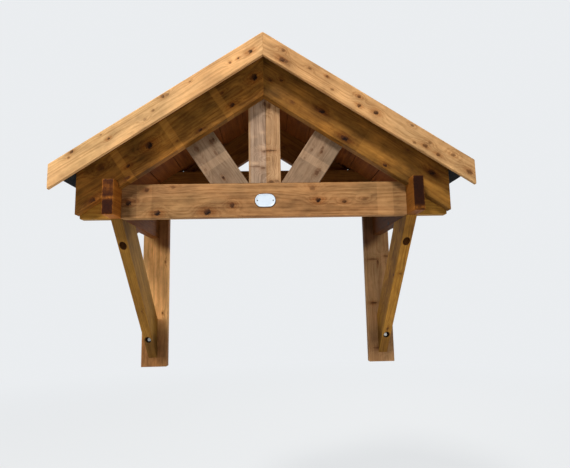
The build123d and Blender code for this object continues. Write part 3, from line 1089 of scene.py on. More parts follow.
# Bargeboards, marked down the slope from the lower edge's apex and up from that edge
BARGE_LOOKS = {
    -1: Look(
        "barge", (-40, -55), contrast=0.62, clouds=1.4, gain=0.9,
        knots=[
            (679, 41, 6, 5, 0.75), (697, 72, 5, 3, 0.5), (828, 76, 8, 5, 0.75), (850, 61, 6, 5, 0.44),
            (61, 41, 5, 3, 0.88), (3, 39, 10, 7, 0.88), (99, 44, 6, 5, 0.5), (280, 65, 5, 3, 0.56),
            (406, 71, 7, 6, 0.69), (388, 69, 9, 5, 0.38), (471, 43, 7, 5, 0.38), (518, 29, 7, 5, 0.25),
        ],
        patches=[
            (20, 40, 40, 22, -0.3), (120, 45, 60, 14, 0.12), (300, 30, 90, 14, 0.12), (600, 30, 90, 12, 0.2),
            (930, 40, 60, 30, 0.35), (420, 70, 50, 9, -0.25), (690, 55, 40, 16, -0.25),
            (840, 70, 50, 10, -0.25),
        ],
    ),
    1: Look(
        "barge", (30, -60), contrast=0.7, clouds=1.5, gain=0.7, bands=[(925, 110, -0.15)],
        knots=[
            (44, 24, 13, 9, 0.75), (27, 60, 8, 7, 0.5), (63, 25, 8, 6, 0.5), (162, 53, 8, 5, 0.5),
            (240, 62, 6, 5, 0.62), (287, 25, 8, 5, 0.38), (396, 59, 8, 7, 0.62), (416, 26, 8, 7, 0.75),
            (490, 38, 10, 8, 0.88), (643, 71, 8, 5, 0.38), (686, 13, 8, 5, 0.5), (730, 26, 11, 7, 0.62),
            (741, 48, 8, 6, 0.38), (794, 22, 9, 7, 0.62), (846, 55, 10, 8, 0.44), (936, 28, 13, 9, 0.56),
        ],
        patches=[
            (50, 35, 60, 30, -0.35), (250, 50, 50, 20, -0.3), (340, 30, 40, 14, 0.3),
            (480, 35, 40, 18, -0.35), (590, 45, 60, 20, 0.35), (720, 30, 50, 16, -0.3),
            (850, 50, 40, 16, -0.25), (170, 20, 60, 10, 0.3), (560, 12, 70, 7, -0.3),
        ],
    ),
}


class CANOPY_OT_bargeboards(bpy.types.Operator):
    """Bargeboards of honey pine with fine knots, mitred at the ridge"""

    bl_idname = "canopy.bargeboards"
    bl_label = "Bargeboards"

    def execute(self, context):
        for (side, name), seed in zip(SIDES, (11, 12)):
            look = BARGE_LOOKS[side].on_slope(side, BARGE_DEPTH)
            lay_timber("barge_board_" + name, bargeboard(side, seed), look)
        return {"FINISHED"}


# Front rafters, marked the same way
RAFTER_LOOKS = {
    -1: Look(
        "rafter", (10, -80), contrast=0.95, clouds=3.2, gain=1.05,
        bands=[(171, 35, 0.6), (421, 35, 0.75), (662, 35, 0.75)],
        knots=[
            (524, 82, 15, 14, 1), (-9, 91, 15, 14, 1), (138, 37, 12, 8, 0.88), (644, 54, 9, 6, 0.88),
            (311, 19, 9, 5, 0.88), (144, 105, 10, 6, 0.5), (841, 13, 13, 9, 0.75), (740, 108, 14, 10, 0.5),
            (674, 12, 12, 6, 0.62), (417, 32, 7, 5, 0.38),
        ],
        patches=[
            (524, 82, 30, 24, 0.4), (-5, 95, 32, 26, 0.4), (90, 80, 60, 25, -0.3), (330, 70, 60, 30, -0.25),
            (250, 100, 50, 22, -0.25), (600, 100, 50, 24, -0.3), (360, 30, 50, 18, 0.3),
            (160, 20, 40, 12, 0.3), (760, 50, 60, 30, 0.25), (830, 30, 30, 20, 0.4), (60, 20, 70, 20, -0.25),
        ],
    ),
    1: Look(
        "rafter", (-30, -70), contrast=0.95, clouds=3.0, gain=0.83, bands=[(504, 82, 0.3)],
        knots=[
            (249, 74, 12, 9, 1), (394, 24, 14, 10, 1), (598, 15, 9, 6, 0.88), (27, 97, 8, 6, 0.75),
            (-13, 71, 8, 6, 0.75), (119, 38, 10, 8, 0.31), (783, 97, 14, 10, 0.88), (648, 125, 8, 5, 0.38),
        ],
        patches=[
            (420, 50, 40, 45, -0.4), (249, 90, 30, 18, -0.3), (60, 60, 50, 25, -0.25),
            (180, 40, 60, 22, 0.25), (700, 60, 70, 30, 0.25), (620, 95, 50, 25, -0.3),
            (800, 90, 50, 30, -0.4), (320, 20, 50, 14, 0.25), (560, 30, 30, 24, 0.3),
        ],
    ),
}


class CANOPY_OT_front_rafters(bpy.types.Operator):
    """Front rafters notched over the arms, with large knots and pale bands where laths lay"""

    bl_idname = "canopy.front_rafters"
    bl_label = "Front rafters"

    def execute(self, context):
        for (side, name), seed in zip(SIDES, (21, 22)):
            look = RAFTER_LOOKS[side].on_slope(side, DEPTH)
            lay_timber("front_rafter_" + name, front_rafter(side, seed), look)
        return {"FINISHED"}


PLATE_STRAIGHT = (PLATE_SIZE[0] - PLATE_SIZE[2]) / 2

# The line round the oval plate, dirt and painted shadow, as a dark place in the tie beam
PLATE_SHADOW = Spot(
    at(PLATE_MIDDLE[0], PLATE_HIGH[1], PLATE_MIDDLE[2]), Y, reach=0.01, radius=PLATE_SIZE[2] / 2 + 0.003,
    softness=0.002, strength=0.75, straight=PLATE_STRAIGHT,
)

# Tie beam, marked up from its lower edge
BEAM_LOOK = Look(
    "beam", (-20, -75), contrast=0.95, clouds=1.8, grey=0.08, gain=0.84, dark=[PLATE_SHADOW],
    bands=[(-510, 63, 0.3), (514, 69, 0.35)],
    knots=[
        (-577, 66, 12, 10, 0.94), (-503, 121, 10, 8, 0.62), (-455, 21, 12, 11, 1), (-246, 23, 14, 13, 1),
        (-141, 51, 10, 10, 0.75), (225, 68, 11, 10, 1), (336, 62, 10, 7, 0.75), (201, 121, 12, 10, 0.38),
        (422, 70, 11, 7, 0.38), (-390, 132, 11, 6, 0.38),
    ],
    patches=[
        (-478, 30, 7, 30, -0.5), (-330, 95, 60, 12, 0.4), (60, 110, 160, 12, 0.35), (-30, 20, 140, 16, 0.3),
        (300, 100, 90, 10, 0.35), (-590, 15, 30, 12, 0.4), (230, 48, 40, 5, 0.4), (340, 44, 50, 4, 0.3),
        (575, 70, 36, 110, -0.6), (-246, 44, 30, 8, -0.3), (-560, 66, 22, 5, -0.4),
        (-550, 72, 50, 70, -0.35),
    ],
)

# King post, marked up from the level of the tie beam's underside
KING_LOOK = Look(
    "web", (-6, -9), contrast=0.85, grey=(0.45, -6, 61), gain=0.86,
    knots=[
        (288, -22, 4, 26, 0.6), (284, 3, 6, 7, 0.5), (218, 38, 4, 24, 0.35), (211, 8, 5, 11, 0.5),
        (500, -2, 10, 7, 0.6), (490, -22, 11, 9, 0.4), (150, -26, 6, 12, 0.55), (153, -51, 6, 10, 0.4),
    ],
    patches=[
        (233, 42, 7, 28, 0.8), (304, 12, 10, 22, 0.5), (370, 8, 8, 16, 0.5), (351, 40, 7, 16, 0.4),
        (470, 28, 12, 22, 0.4), (420, 30, 26, 30, -0.3), (190, -40, 30, 25, 0.4), (260, 45, 26, 20, -0.25),
        (225, -35, 12, 24, -0.3), (525, 0, 22, 60, -0.4), (180, 35, 26, 30, -0.2),
    ],
)

# Struts, marked up from the foot corner and out from the inner edge
STRUT_LOOKS = {
    -1: Look(
        "web", (20, -60), contrast=0.75, grey=0.28, gain=0.52, bands=[(158, 36, 0.55)],
        knots=[
            (242, 33, 12, 10, 0.4), (245, 21, 6, 6, 0.6), (80, 78, 6, 5, 0.8), (191, 45, 12, 5, 0.3),
            (152, 122, 9, 6, 0.2), (251, 103, 12, 9, 0.35),
        ],
        patches=[
            (222, 36, 30, 12, -0.4), (270, 70, 22, 60, -0.4), (90, 40, 40, 25, -0.25),
            (150, 110, 20, 30, 0.4), (140, 20, 20, 14, 0.4),
        ],
    ),
    1: Look(
        "web", (-20, -60), contrast=0.75, grey=0.28, gain=0.59, bands=[(158, 36, 0.55)],
        knots=[
            (210, 75, 8, 5, 0.55), (228, 69, 7, 5, 0.35), (119, 106, 11, 8, 0.5), (137, 110, 9, 7, 0.3),
            (195, 34, 6, 5, 0.2), (148, 27, 6, 5, 0.2),
        ],
        patches=[
            (185, 110, 25, 30, -0.3), (100, 60, 40, 30, 0.3), (225, 40, 30, 30, -0.3),
            (270, 70, 22, 60, -0.35),
        ],
    ),
}

# Checks: across, from, to, width, depth and side
BEAM_SHAKE = (0.02, -0.05, 0.28, 0.0006, 0.003, 1)
KING_CRACK = (-0.006, 0.0, 0.56, 0.0021, 0.012, 1)


class CANOPY_OT_truss_webs(bpy.types.Operator):
    """Tie beam and its stubs, king post with a heart check, and the two struts"""

    bl_idname = "canopy.truss_webs"
    bl_label = "Tie beam, king post and struts"

    def execute(self, context):
        beam = tie_timber(-ARM_INNER, ARM_INNER, 31, BEAM_SHAKE)
        king = king_post(TIE_MIDDLE, ARM_TOP, 0, 32, KING_CRACK)
        lay_timber("tie_beam", beam, BEAM_LOOK.carried(across=-DEPTH / 2 / MM))
        lay_timber("king_post", king, KING_LOOK.carried(along=-DEPTH / MM))
        for (side, name), seed in zip(SIDES, (33, 34)):
            look = STRUT_LOOKS[side].carried(across=side * WEB / 2 / MM, across_sign=-side)
            lay_timber("strut_" + name, strut(side, seed), look)
        for side, name in SIDES:
            look = Look("bracket", (30 * side, -60), scatter=9, gain=0.85)
            lay_timber("tie_stub_" + name, tie_stub(side, 35 + side), look)
        return {"FINISHED"}


SHANK = 0.0055
HEAD_HEIGHT = 0.0095

# A bolt's hole, as distances outwards from the outer face of its head, and radii
BOLT_HOLE = ((-0.2, SHANK), (-HEAD_HEIGHT, SHANK), (-HEAD_HEIGHT, COUNTERBORE), (0.09, COUNTERBORE))
BOLT_AXES = (("upper", Z), ("lower", Y))


def bolt_face(node, axis):
    """Middle of the outer face of a bolt's head, which is the low side of its box along its axis."""
    return np.where(axis > 0, low(node), (low(node) + high(node)) / 2)


def bore(piece, origin, axis):
    """Cuts a bolt's hole out of a piece.

    The cutter is the hole's profile turned about the bolt's axis: a point at angle a stands
    radius * (cos a, sin a) off the axis. A difference with it is worked out once and kept.
    """
    side = np.cross(axis, X)
    angle = np.linspace(0, 2 * np.pi, 32, endpoint=False)[:, None]
    ring = np.cos(angle) * side + np.sin(angle) * np.cross(axis, side)
    distance, radius = np.array(BOLT_HOLE).T[..., None, None]
    rows = origin + distance * axis + radius * ring[::-1]
    cutter = new_object("bore", new_mesh("bore", capped_tube(rows)))
    cut = piece.modifiers.new("bore", "BOOLEAN")
    cut.operation = "DIFFERENCE"
    cut.solver = "EXACT"
    cut.object = cutter
    bpy.context.view_layer.update()
    seen = piece.evaluated_get(bpy.context.evaluated_depsgraph_get())
    whole = piece.data
    bored = bpy.data.meshes.new_from_object(seen)
    piece.modifiers.remove(cut)
    piece.data = bored
    bored.name = piece.name
    bpy.data.meshes.remove(whole)
    bpy.data.objects.remove(cutter)


def brace_shades(side, name):
    """Painted shade in the bores, and painted shade at the head and the foot of a brace."""
    shades = []
    radius = COUNTERBORE + 0.0015
    for end, axis in BOLT_AXES:
        place = bolt_face("brace_bolt_" + end + "_" + name, axis)
        shades.append(Spot(place, axis, reach=0.3, radius=radius, softness=0.001, strength=0.95))
    head = at(side * ARM_MIDDLE, BRACE_TOE + 0.05, ARM_UNDER)
    foot = at(side * ARM_MIDDLE, -STOCK - 0.03, BRACE_FOOT + 0.05)
    for place, strength in ((head, 0.45), (foot, 0.55)):
        shades.append(Spot(place, X, reach=0.05, radius=0.09, softness=0.035, strength=strength))
    return shades


def arm_shade(side):
    """Shade round an arm near the wall."""
    place = at(side * ARM_MIDDLE, -0.36, ARM_UNDER)
    return Spot(place, X, reach=0.05, radius=0.33, softness=0.02, strength=0.7)


def post_shade(side):
    """Shade at the head of a post, on its inner side."""
    place = at(side * POST_INNER * 0.97, -STOCK, -0.25)
    return Spot(place, Y, reach=0.044, radius=0.12, softness=0.03, strength=0.9)


# Shade round the foot of the left post
FOOT_SHADE = Spot(
    at(-POST_INNER - 0.07, -STOCK, POST_FOOT), Y, reach=0.044, radius=0.22, softness=0.08, strength=0.7
)

# The right brace's high gain is painted sunlight, and its long dull patch is painted shade on its wide
# faces.
BRACE_LOOKS = {
    -1: Look("bracket", (-20, -60), contrast=0.9, gain=0.81, edge_knots=[(560, 6, 6, 5, 0.3)]),
    1: Look(
        "bracket", (20, -60), contrast=0.9, gain=1.2, scatter=7, patches=[(420, 5, 640, 84, -1.0)],
        edge_knots=[(725, 0, 9, 7, 0.6), (340, 4, 4, 8, 0.5)],
    ),
}
# The arms' gains differ as painted light: high on the sunlit left arm, low on the shaded right arm.
ARM_LOOKS = {
    -1: Look(
        "arm", (30, 50), gain=1.25, scatter=9, end_stain=1.0, dark=[arm_shade(-1)],
        patches=[(801, -4, 30, 7, 1.0), (801, 40, 30, 24, 0.5)],
    ),
    1: Look(
        "arm", (30, -50), gain=0.65, scatter=9, end_stain=1.0, dark=[arm_shade(1)],
        patches=[(801, -62, 30, 10, 1.0)],
    ),
}
# The left post's high gain is painted sunlight and the right post's low gain painted shade; the dull patches
# at both feet are painted shadow.
POST_LOOKS = {
    -1: Look(
        "post", (20, -70), contrast=0.8, gain=1.65, patches=[(-930, 0, 120, 110, -0.8)],
        knots=[(-712, -42, 6, 5, 0.6), (-694, 3, 6, 5, 0.35), (-431, -53, 9, 5, 0.5)],
        dark=[post_shade(-1), FOOT_SHADE],
    ),
    1: Look(
        "post", (-20, -70), contrast=0.8, gain=0.85, grey=0.15, patches=[(-910, 20, 90, 90, -0.6)],
        knots=[
            (-436, 30, 4, 26, 0.5), (-454, -2, 12, 4, 0.6), (-420, -50, 5, 16, 0.45), (-680, 32, 4, 18, 0.8),
            (-925, 18, 6, 26, 0.45),
        ],
        dark=[post_shade(1)],
    ),
}


class CANOPY_OT_brackets(bpy.types.Operator):
    """Arms with rough dark ends, counterbored braces and the posts on the wall"""

    bl_idname = "canopy.brackets"
    bl_label = "Gallows brackets"

    def execute(self, context):
        for side, name in SIDES:
            look = replace(BRACE_LOOKS[side], dark=brace_shades(side, name))
            piece = lay_timber("bracket_brace_" + name, brace(side, 41 + side), look)
            for end, axis in BOLT_AXES:
                bore(piece, bolt_face("brace_bolt_" + end + "_" + name, axis), -axis)
            lay_timber("bracket_arm_" + name, arm(side, 44 + side), ARM_LOOKS[side])
        for side, name in SIDES:
            lay_timber("wall_post_" + name, wall_post(side, 47 + side), POST_LOOKS[side])
        return {"FINISHED"}


class CANOPY_OT_wall_truss(bpy.types.Operator):
    """Rafters, collar and short post on the wall, in dark red brown"""

    bl_idname = "canopy.wall_truss"
    bl_label = "Wall truss"

    def execute(self, context):
        for side, name in SIDES:
            look = Look("inner", (15 * side, -60), scatter=11)
            lay_timber("wall_rafter_" + name, wall_rafter(side, 51 + side), look)
        king = king_post(-STOCK / 2, low("wall_king_post")[2], -DEPTH, 54)
        lay_timber("wall_king_post", king, Look("inner", (10, -50), scatter=10))
        lay_timber("wall_collar", wall_collar(55), Look("inner", (-20, -60), scatter=11))
        return {"FINISHED"}


class CANOPY_OT_roof_boards(bpy.types.Operator):
    """Seven boards a slope that run from the wall to the bargeboard"""

    bl_idname = "canopy.roof_boards"
    bl_label = "Roof boards"

    def execute(self, context):
        settings = context.scene.canopy_timber
        look = Look("board", (20, -60), scatter=10)
        for side, name in SIDES:
            node = "roof_boards_" + name
            sticks = [roof_board(side, index, 60 + 10 * side + index) for index in range(BOARDS_PER_SLOPE)]
            boards = joined([stick.mesh(settings, end_rings=3) for stick in sticks])
            middle = sticks[BOARDS_PER_SLOPE // 2]
            material = timber_material(node + "_softwood", middle, look, settings)
            build_piece(node + "_timber", boards, [node], material)
        return {"FINISHED"}


def recolour(node, material):
    """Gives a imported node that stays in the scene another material."""
    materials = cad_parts[node].data.materials
    materials.clear()
    materials.append(material)


def felt_material(settings):
    """Mineral felt: a fine grit of two greys over black bitumen, with clouds of worn mineral."""
    material, w, coordinates = new_material("mineral_felt")
    place = coordinates["Object"]
    grit = w.fill(w.add("ShaderNodeTexVoronoi", feature="F1"), Vector=place, Scale=620.0).outputs
    speck, sheen, rise = w.split(grit["Color"])
    worn = w.plus(w.swing(w.noise(place, (5, 3, 5), 3.0), 0.8), 1.0)
    colour = w.shade(linear(settings.felt), w.times(w.step(speck, 0.1, 0.95, 0.55, 1.7), worn))
    rough = w.plus(w.times(sheen, 0.12), 0.82)
    height = w.plus(w.times(rise, 0.6), w.times(grit["Distance"], -0.6))
    w.principled(colour, rough, height, 0.6 * MM, specular=0.06)
    return material


# Near-black painted shade for a bolt's washer, round its bright head
PAINTED_SHADE = (0.015, 0.013, 0.012, 1.0)


def metal_material(name, colour, roughness, unshaded=()):
    """Zinc plate: a slightly uneven shine with fine scratches, and near-black painted shade outside the
    spots given.
    """
    material, w, coordinates = new_material(name)
    place = coordinates["Object"]
    cloud = w.noise(place, (130, 130, 130), 3.0)
    scratches = w.noise(place, (900, 900, 300))
    shine = w.shade(linear(colour), w.step(cloud, 0.3, 0.7, 0.75, 1.1))
    if unshaded:
        shine = w.mix(spot_shares(w, place, unshaded), PAINTED_SHADE, shine)
    rough = w.plus(w.times(cloud, 0.25), roughness)
    w.fill(w.principled(shine, rough, scratches, 0.1 * MM, specular=0.5), Metallic=0.9)
    return material


LAP_EDGE = 0.52 * FELT_RUN
LAP_RISE = 0.6 * FELT_THICKNESS
FELT_BEND = 0.004
FELT_COLUMNS = 70
FOLD_COLUMNS = 12
HELD_AT_RIDGE = 0.05


def rows_to_wall(front, count):
    """Distances from the wall of evenly spaced rows that start at the front, as a column."""
    return (front - front * np.linspace(0, 1, count))[:, None]


def felt_slope(settings, side):
    """Rows of one slope's felt: over the boards and the lap, round the eaves and back under.

    Each point of the profile is lifted off the slope by slack waves, the sum of two random curves of its
    place. They die out within 50 mm of the ridge, and stop at the bend.
    """
    fold = FELT_RUN - FELT_THICKNESS
    tail = (TAIL + FELT_THICKNESS) / COS
    ridge = -FELT_TOP * SLOPE
    bend = FELT_RUN - FELT_BEND
    over = np.linspace(ridge, bend, FELT_COLUMNS)
    lapped = np.where(over > LAP_EDGE, 0, np.clip((over - LAP_EDGE + settings.lap) / settings.lap, 0, 1))
    turn = np.linspace(0, np.pi / 2, 5)[1:]
    drop = np.linspace(FELT_TOP - FELT_BEND, FELT_BEND - FELT_THICKNESS, 5)
    outer = np.concatenate([
        points_of(over, FELT_TOP + LAP_RISE * lapped),
        points_of(bend + FELT_BEND * np.sin(turn), drop[0] + FELT_BEND * np.cos(turn)),
        points_of(FELT_RUN, drop[1:]),
        points_of(bend + FELT_BEND * np.cos(turn), drop[-1] - FELT_BEND * np.sin(turn)),
        points_of(tail, [-FELT_THICKNESS]),
    ])
    inner = np.concatenate([
        points_of(np.linspace(-BOARD_THICKNESS * SLOPE, fold, FELT_COLUMNS), BOARD_THICKNESS),
        points_of(fold, np.linspace(BOARD_THICKNESS, 0.0, FOLD_COLUMNS + 1)[1:]),
        points_of(tail, [0.0]),
    ])
    run, lift = np.concatenate([outer, inner[::-1]]).T
    free = np.zeros(len(run))
    free[:FELT_COLUMNS] = np.clip((over - ridge) / HELD_AT_RIDGE, 0, 1)
    y = rows_to_wall(BARGE_BACK, 50)
    wave = wander(run + 0.3 * y, 71 + side, 0.5) + wander(y, 75 + side, 0.4)
    rise = np.clip(wave * 0.5 + 0.5, 0, 1) * settings.wave * free
    return on_roof(run, lift, side, y) + rise[..., None] * up(side)


def ridge_capping(settings):
    """Rows of the folded capping: two skins over both slopes, rounded at the ridge.

    A point's run is its share of the wing, less a part that brings the ridge's own point back to the
    middle. It is lifted by a random curve of its distance from the wall, times its share squared.
    """
    outside = FELT_TOP + FELT_THICKNESS
    wing = (high("ridge_capping")[0] - outside * SIN) / COS
    across = np.linspace(-1, 1, 61)
    share = abs(across)
    y = rows_to_wall(low("ridge_capping")[1], 40)

    def skin(lift):
        return on_roof(wing * share - lift * SLOPE * (1 - share), lift, np.sign(across), y)

    rows = np.concatenate([skin(outside), skin(FELT_TOP)[:, ::-1]], axis=1)
    edge = np.concatenate([share, share[::-1]]) ** 2
    rise = settings.wave * 0.6 * (wander(y, 81, 0.3) * 0.5 + 0.5) * edge
    return rows + rise[..., None] * Z


def nail_heads(centres, normal, settings):
    """Low closed domes on a face, all alike: rings that shrink by a cosine while they rise by a sine.

    Each starts a little below the face.
    """
    angle = np.linspace(0, 2 * np.pi, 12, endpoint=False)
    lean = np.linspace(0, np.pi / 2, 5)[:-1]
    reach = settings.nail * np.concatenate([[1.0], np.cos(lean)])
    height = settings.nail_rise * np.concatenate([[-1.0], np.sin(lean)])
    ring = np.multiply.outer(np.cos(angle), Y) + np.multiply.outer(np.sin(angle), np.cross(Y, normal))
    shape = reach[:, None, None] * ring + height[:, None, None] * normal
    return joined([capped_tube(centre + shape) for centre in centres])


class CANOPY_OT_roof_felt(bpy.types.Operator):
    """Felt on both slopes with one lap, folded round the eaves, and the capping over the ridge"""

    bl_idname = "canopy.roof_felt"
    bl_label = "Felt roof"

    def execute(self, context):
        settings = context.scene.canopy_roof
        felt = felt_material(settings)
        steel = metal_material("nail_steel", settings.nail_steel, 0.45)
        for side, name in SIDES:
            node = "roof_felt_" + name
            sheet = capped_strip(felt_slope(settings, side)[:, ::-side])
            build_piece(node + "_sheet", sheet, [node], felt)
            self.nails(settings, steel, side, name)
            recolour("verge_strip_" + name, felt)
        capping = capped_strip(ridge_capping(settings)[:, ::-1])
        build_piece("ridge_capping_sheet", capping, ["ridge_capping"], felt)
        return {"FINISHED"}

    def nails(self, settings, steel, side, name):
        """Clout nails beside the verge and down the lap, and a row of them along the drip."""
        first_run = 0.19
        first_y = BARGE_BACK + 0.06
        last = 0.03
        runs = np.arange(first_run, FELT_RUN - last, settings.nail_gap * 2)
        y = np.arange(first_y, -last, settings.nail_gap)
        verge = on_roof(runs, FELT_TOP, side, BARGE_BACK + settings.nail_margin)
        lap = on_roof(LAP_EDGE - settings.nail_margin, FELT_TOP + LAP_RISE, side, y)
        drip = on_roof(FELT_RUN, FELT_TOP / 2, side, y)
        flat = nail_heads(np.concatenate([verge, lap]), up(side), settings)
        hanging = nail_heads(drip, down(side), settings)
        build_piece("roof_felt_" + name + "_nails", flat, [], steel)
        build_piece("roof_drip_" + name + "_nails", hanging, [], steel)


class CANOPY_OT_bolts(bpy.types.Operator):
    """Zinc finish on the brace bolts"""

    bl_idname = "canopy.bolts"
    bl_label = "Brace bolts"

    def execute(self, context):
        settings = context.scene.canopy_fittings
        for end, axis in BOLT_AXES:
            for _, name in SIDES:
                place = end + "_" + name
                node = "brace_bolt_" + place
                middle = (low(node) + high(node)) / 2
                # Painted shade over the washer, outside the zinc head
                unshaded = Spot(middle, axis, reach=1.0, radius=settings.head, softness=0.0004, strength=1.0)
                recolour(node, metal_material("zinc_plate_" + place, settings.steel, 0.3, [unshaded]))
        return {"FINISHED"}


CHIPPED = (0.25, 0.2, 0.14, 1.0)


def enamel_material(settings):
    """Pale enamel that darkens a little in clouds and towards chipped specks."""
    material, w, coordinates = new_material("plate_enamel")
    place = coordinates["Object"]
    cloud = w.noise(place, (60, 60, 60), 3.0)
    speck = w.step(w.noise(place, (420, 420, 420)), 0.66, 0.72)
    clouded = w.stain(w.step(cloud, 0.35, 0.7, 0.0, 0.22), linear(settings.enamel), 0.78, 0.88, 0.96)
    colour = w.mix(w.times(speck, 0.4), clouded, CHIPPED)
    w.principled(colour, w.plus(w.times(cloud, 0.2), 0.2), cloud, 0.1 * MM, specular=0.5)
    return material


def dished_plate(rim):
    """Plate as rings: a stadium outline drawn in by steps, each at its own height off the beam.

    A point at angle a is on a circle of the half height, moved out along X by the straight half
    length where it lies on that side, so that inner rings stay parallel to the outline.
    """
    half = PLATE_SIZE[2] / 2
    profile = np.array([        # inset, share of the thickness, share of the straight length
        (0, 0.0, 1), (0, 0.80, 1), (0.0008, 0.95, 1), (0.0016, 1.0, 1), (rim, 0.98, 1),
        (rim + 0.001, 0.72, 1), (rim + 0.002, 0.66, 1), (0.010, 0.66, 0.9), (0.018, 0.68, 0.75),
        (half - 0.002, 0.69, 0.6),
    ])
    inset, height, straight = profile.T[..., None]
    angle = np.linspace(2 * np.pi, 0, 96, endpoint=False)
    radius = half - inset
    x = radius * np.cos(angle) + PLATE_STRAIGHT * straight * np.clip(np.cos(angle) * 3, -1, 1)
    z = radius * np.sin(angle)
    y = PLATE_HIGH[1] - height * PLATE_SIZE[1]
    return capped_tube(points_of(PLATE_MIDDLE[0] + x, y, PLATE_MIDDLE[2] + z))


def screw_head(place, radius):
    """Raised screw head with a cross recess, facing -Y.

    Height over the seat is a dome, less a groove wherever a point lies within the slot's half width of
    either of two turned lines.
    """
    slot_turn = 0.5
    slot_half = 0.14
    slot_depth = 0.45
    slot_reach = 0.7
    profile = np.array([        # share of the radius, rise as a share of the radius
        (1.0, -0.25), (1.0, 0.08), (0.93, 0.26), (0.8, 0.36), (0.6, 0.44), (0.42, 0.48), (0.25, 0.5),
        (0.12, 0.5),
    ])
    share, rise = profile.T[..., None]
    angle = np.linspace(2 * np.pi, 0, 40, endpoint=False)
    x = share * radius * np.cos(angle)
    z = share * radius * np.sin(angle)
    turned_x = x * math.cos(slot_turn) - z * math.sin(slot_turn)
    turned_z = x * math.sin(slot_turn) + z * math.cos(slot_turn)
    in_slot = (np.minimum(abs(turned_x), abs(turned_z)) < radius * slot_half) & (share < slot_reach)
    y = -(rise * radius - slot_depth * radius * in_slot)
    return capped_tube(place + points_of(x, y, z))


class CANOPY_OT_plate(bpy.types.Operator):
    """Blank oval plate with a raised rim, fixed by two small screws"""

    bl_idname = "canopy.plate"
    bl_label = "Oval plate"

    def execute(self, context):
        settings = context.scene.canopy_fittings
        enamel = enamel_material(settings)
        plate = dished_plate(settings.rim)
        build_piece("oval_plate_enamel", plate, ["oval_plate"], enamel, angle=50)
        from_end = 0.0095
        below_rim = 0.0011
        reach = PLATE_SIZE[0] / 2 - from_end
        seat = PLATE_LOW[1] + below_rim
        heads = [at(PLATE_MIDDLE[0] + side * reach, seat, PLATE_MIDDLE[2]) for side, _ in SIDES]
        screws = joined([screw_head(head, settings.screw) for head in heads])
        steel = metal_material("dark_screw_steel", settings.screw_steel, 0.35)
        build_piece("oval_plate_screws", screws, [], steel, angle=40)
        return {"FINISHED"}


FLOOR_RADIUS = 30.0
CAMERA_EYE = (0.0202, -2.6015, -0.6367)
CAMERA_YAW = math.radians(-1.833)
CAMERA_UPWARD = math.radians(7.839)
CAMERA_ROLL = math.radians(-1.142)
SENSOR_WIDTH = 36.0


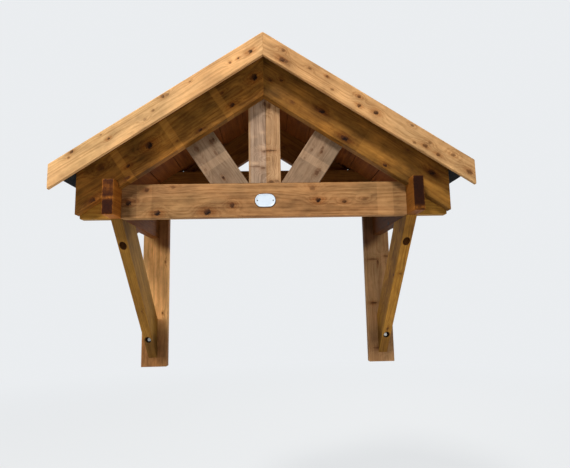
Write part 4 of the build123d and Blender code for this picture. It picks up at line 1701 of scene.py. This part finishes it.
class CANOPY_OT_stage(bpy.types.Operator):
    """Pale floor, even soft light and the camera"""

    bl_idname = "canopy.stage"
    bl_label = "Stage"

    def execute(self, context):
        settings = context.scene.canopy_stage
        self.floor(settings)
        self.surroundings(settings)
        self.lamp("key_light", settings.key, 2.4, (-4.4, -8.4, 8.4), (0.0, -0.7, 0.0))
        self.lamp("fill_light", settings.fill, 2.4, (0.9, -4.2, -1.7), (0.0, -0.5, -0.2))
        self.lamp("back_light", settings.back, 3.0, (3.2, 6.5, 4.6), (0.0, 0.0, 0.0))
        self.camera(settings)
        context.scene.view_settings.view_transform = "Standard"
        return {"FINISHED"}

    def floor(self, settings):
        """A round floor, each ring a circle whose radius grows by the square of its share."""
        angle = np.linspace(0, 2 * np.pi, 64, endpoint=False)
        radius = FLOOR_RADIUS * np.linspace(0.02, 1, 24)[:, None] ** 2
        ground = POST_FOOT - settings.ground
        rows = points_of(radius * np.cos(angle), radius * np.sin(angle), ground)
        index, turned, quads = wrapped_grid(rows)
        points = np.concatenate([rows.reshape(-1, 3), [[0, 0, ground]]])
        fan = np.stack([index[0], turned[0], np.full(len(angle), index.size)], axis=-1)
        floor = new_object("studio_floor", new_mesh("studio_floor", (points, quads, fan)))
        floor.data.materials.append(self.floor_material(settings))

    def floor_material(self, settings):
        """Matt floor that gives way to the backdrop's own brightness far from the middle."""
        material, w, coordinates = new_material("studio_floor")
        shader = w.tree.nodes["Principled BSDF"]
        w.fill(shader, Base_Color=linear(settings.floor), Roughness=0.9, Specular_IOR_Level=0.1)
        glow = w.add("ShaderNodeEmission", linear(settings.backdrop), 1.0)
        far = w.step(w.length(coordinates["Object"]), 3.5, 9.0, 0.8, 1.0)
        mixed = w.mix_shaders(w.times(far, w.seen_rays()), shader, glow)
        w.fill(w.tree.nodes["Material Output"], Surface=mixed)
        return material

    def surroundings(self, settings):
        """Even pale light from all round, with the backdrop's own brightness where it is seen."""
        world = bpy.data.worlds.new("studio")
        bpy.context.scene.world = world
        world.use_nodes = True
        world.node_tree.nodes.clear()
        w = Wiring(world.node_tree)
        lit = w.add("ShaderNodeBackground", (1.0, 0.99, 0.97, 1.0), settings.ambient)
        shown = w.add("ShaderNodeBackground", linear(settings.backdrop), 1.0)
        w.add("ShaderNodeOutputWorld", w.mix_shaders(w.seen_rays(), lit, shown))

    def lamp(self, name, power, size, place, target):
        """A square soft light at a place, turned to face a target."""
        lamp = new_object(name, bpy.data.lights.new(name, "AREA"))
        lamp.data.energy = power
        lamp.data.size = size
        lamp.location = place
        lamp.rotation_euler = (Vector(target) - Vector(place)).to_track_quat("-Z", "Y").to_euler()

    def camera(self, settings):
        """Camera below the eaves and almost square on, turned a little up, left and over."""
        camera = new_object("camera", bpy.data.cameras.new("camera"))
        camera.data.sensor_width = SENSOR_WIDTH
        camera.data.lens = SENSOR_WIDTH / 2 / math.tan(settings.view_half_width)
        turn = Matrix.Rotation(CAMERA_YAW, 3, "Z") @ Matrix.Rotation(math.pi / 2 + CAMERA_UPWARD, 3, "X")
        turn = turn @ Matrix.Rotation(CAMERA_ROLL, 3, "Z")
        camera.matrix_world = Matrix.Translation(CAMERA_EYE) @ turn.to_4x4()
        bpy.context.scene.camera = camera


OPERATORS = (
    CANOPY_OT_bargeboards,
    CANOPY_OT_front_rafters,
    CANOPY_OT_truss_webs,
    CANOPY_OT_brackets,
    CANOPY_OT_wall_truss,
    CANOPY_OT_roof_boards,
    CANOPY_OT_roof_felt,
    CANOPY_OT_bolts,
    CANOPY_OT_plate,
    CANOPY_OT_stage,
)


class CANOPY_PT_panel(bpy.types.Panel):
    """Lists the canopy's steps in order"""

    bl_idname = "CANOPY_PT_panel"
    bl_label = "Porch canopy"
    bl_space_type = "VIEW_3D"
    bl_region_type = "UI"
    bl_category = "Canopy"

    def draw(self, context):
        for operator in OPERATORS:
            self.layout.operator(operator.bl_idname)


SETTINGS = {
    "canopy_timber": TimberSettings,
    "canopy_roof": RoofSettings,
    "canopy_fittings": FittingSettings,
    "canopy_stage": StageSettings,
}


def register():
    for name, group in SETTINGS.items():
        bpy.utils.register_class(group)
        setattr(bpy.types.Scene, name, bpy.props.PointerProperty(type=group))
    for kind in (*OPERATORS, CANOPY_PT_panel):
        bpy.utils.register_class(kind)


def unregister():
    for kind in (*OPERATORS, CANOPY_PT_panel):
        bpy.utils.unregister_class(kind)
    for name, group in SETTINGS.items():
        delattr(bpy.types.Scene, name)
        bpy.utils.unregister_class(group)


def main():
    """Builds every piece."""
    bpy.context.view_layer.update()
    register()
    for operator in OPERATORS:
        group, step = operator.bl_idname.split(".")
        getattr(getattr(bpy.ops, group), step)()


if __name__ == "__main__":
    main()
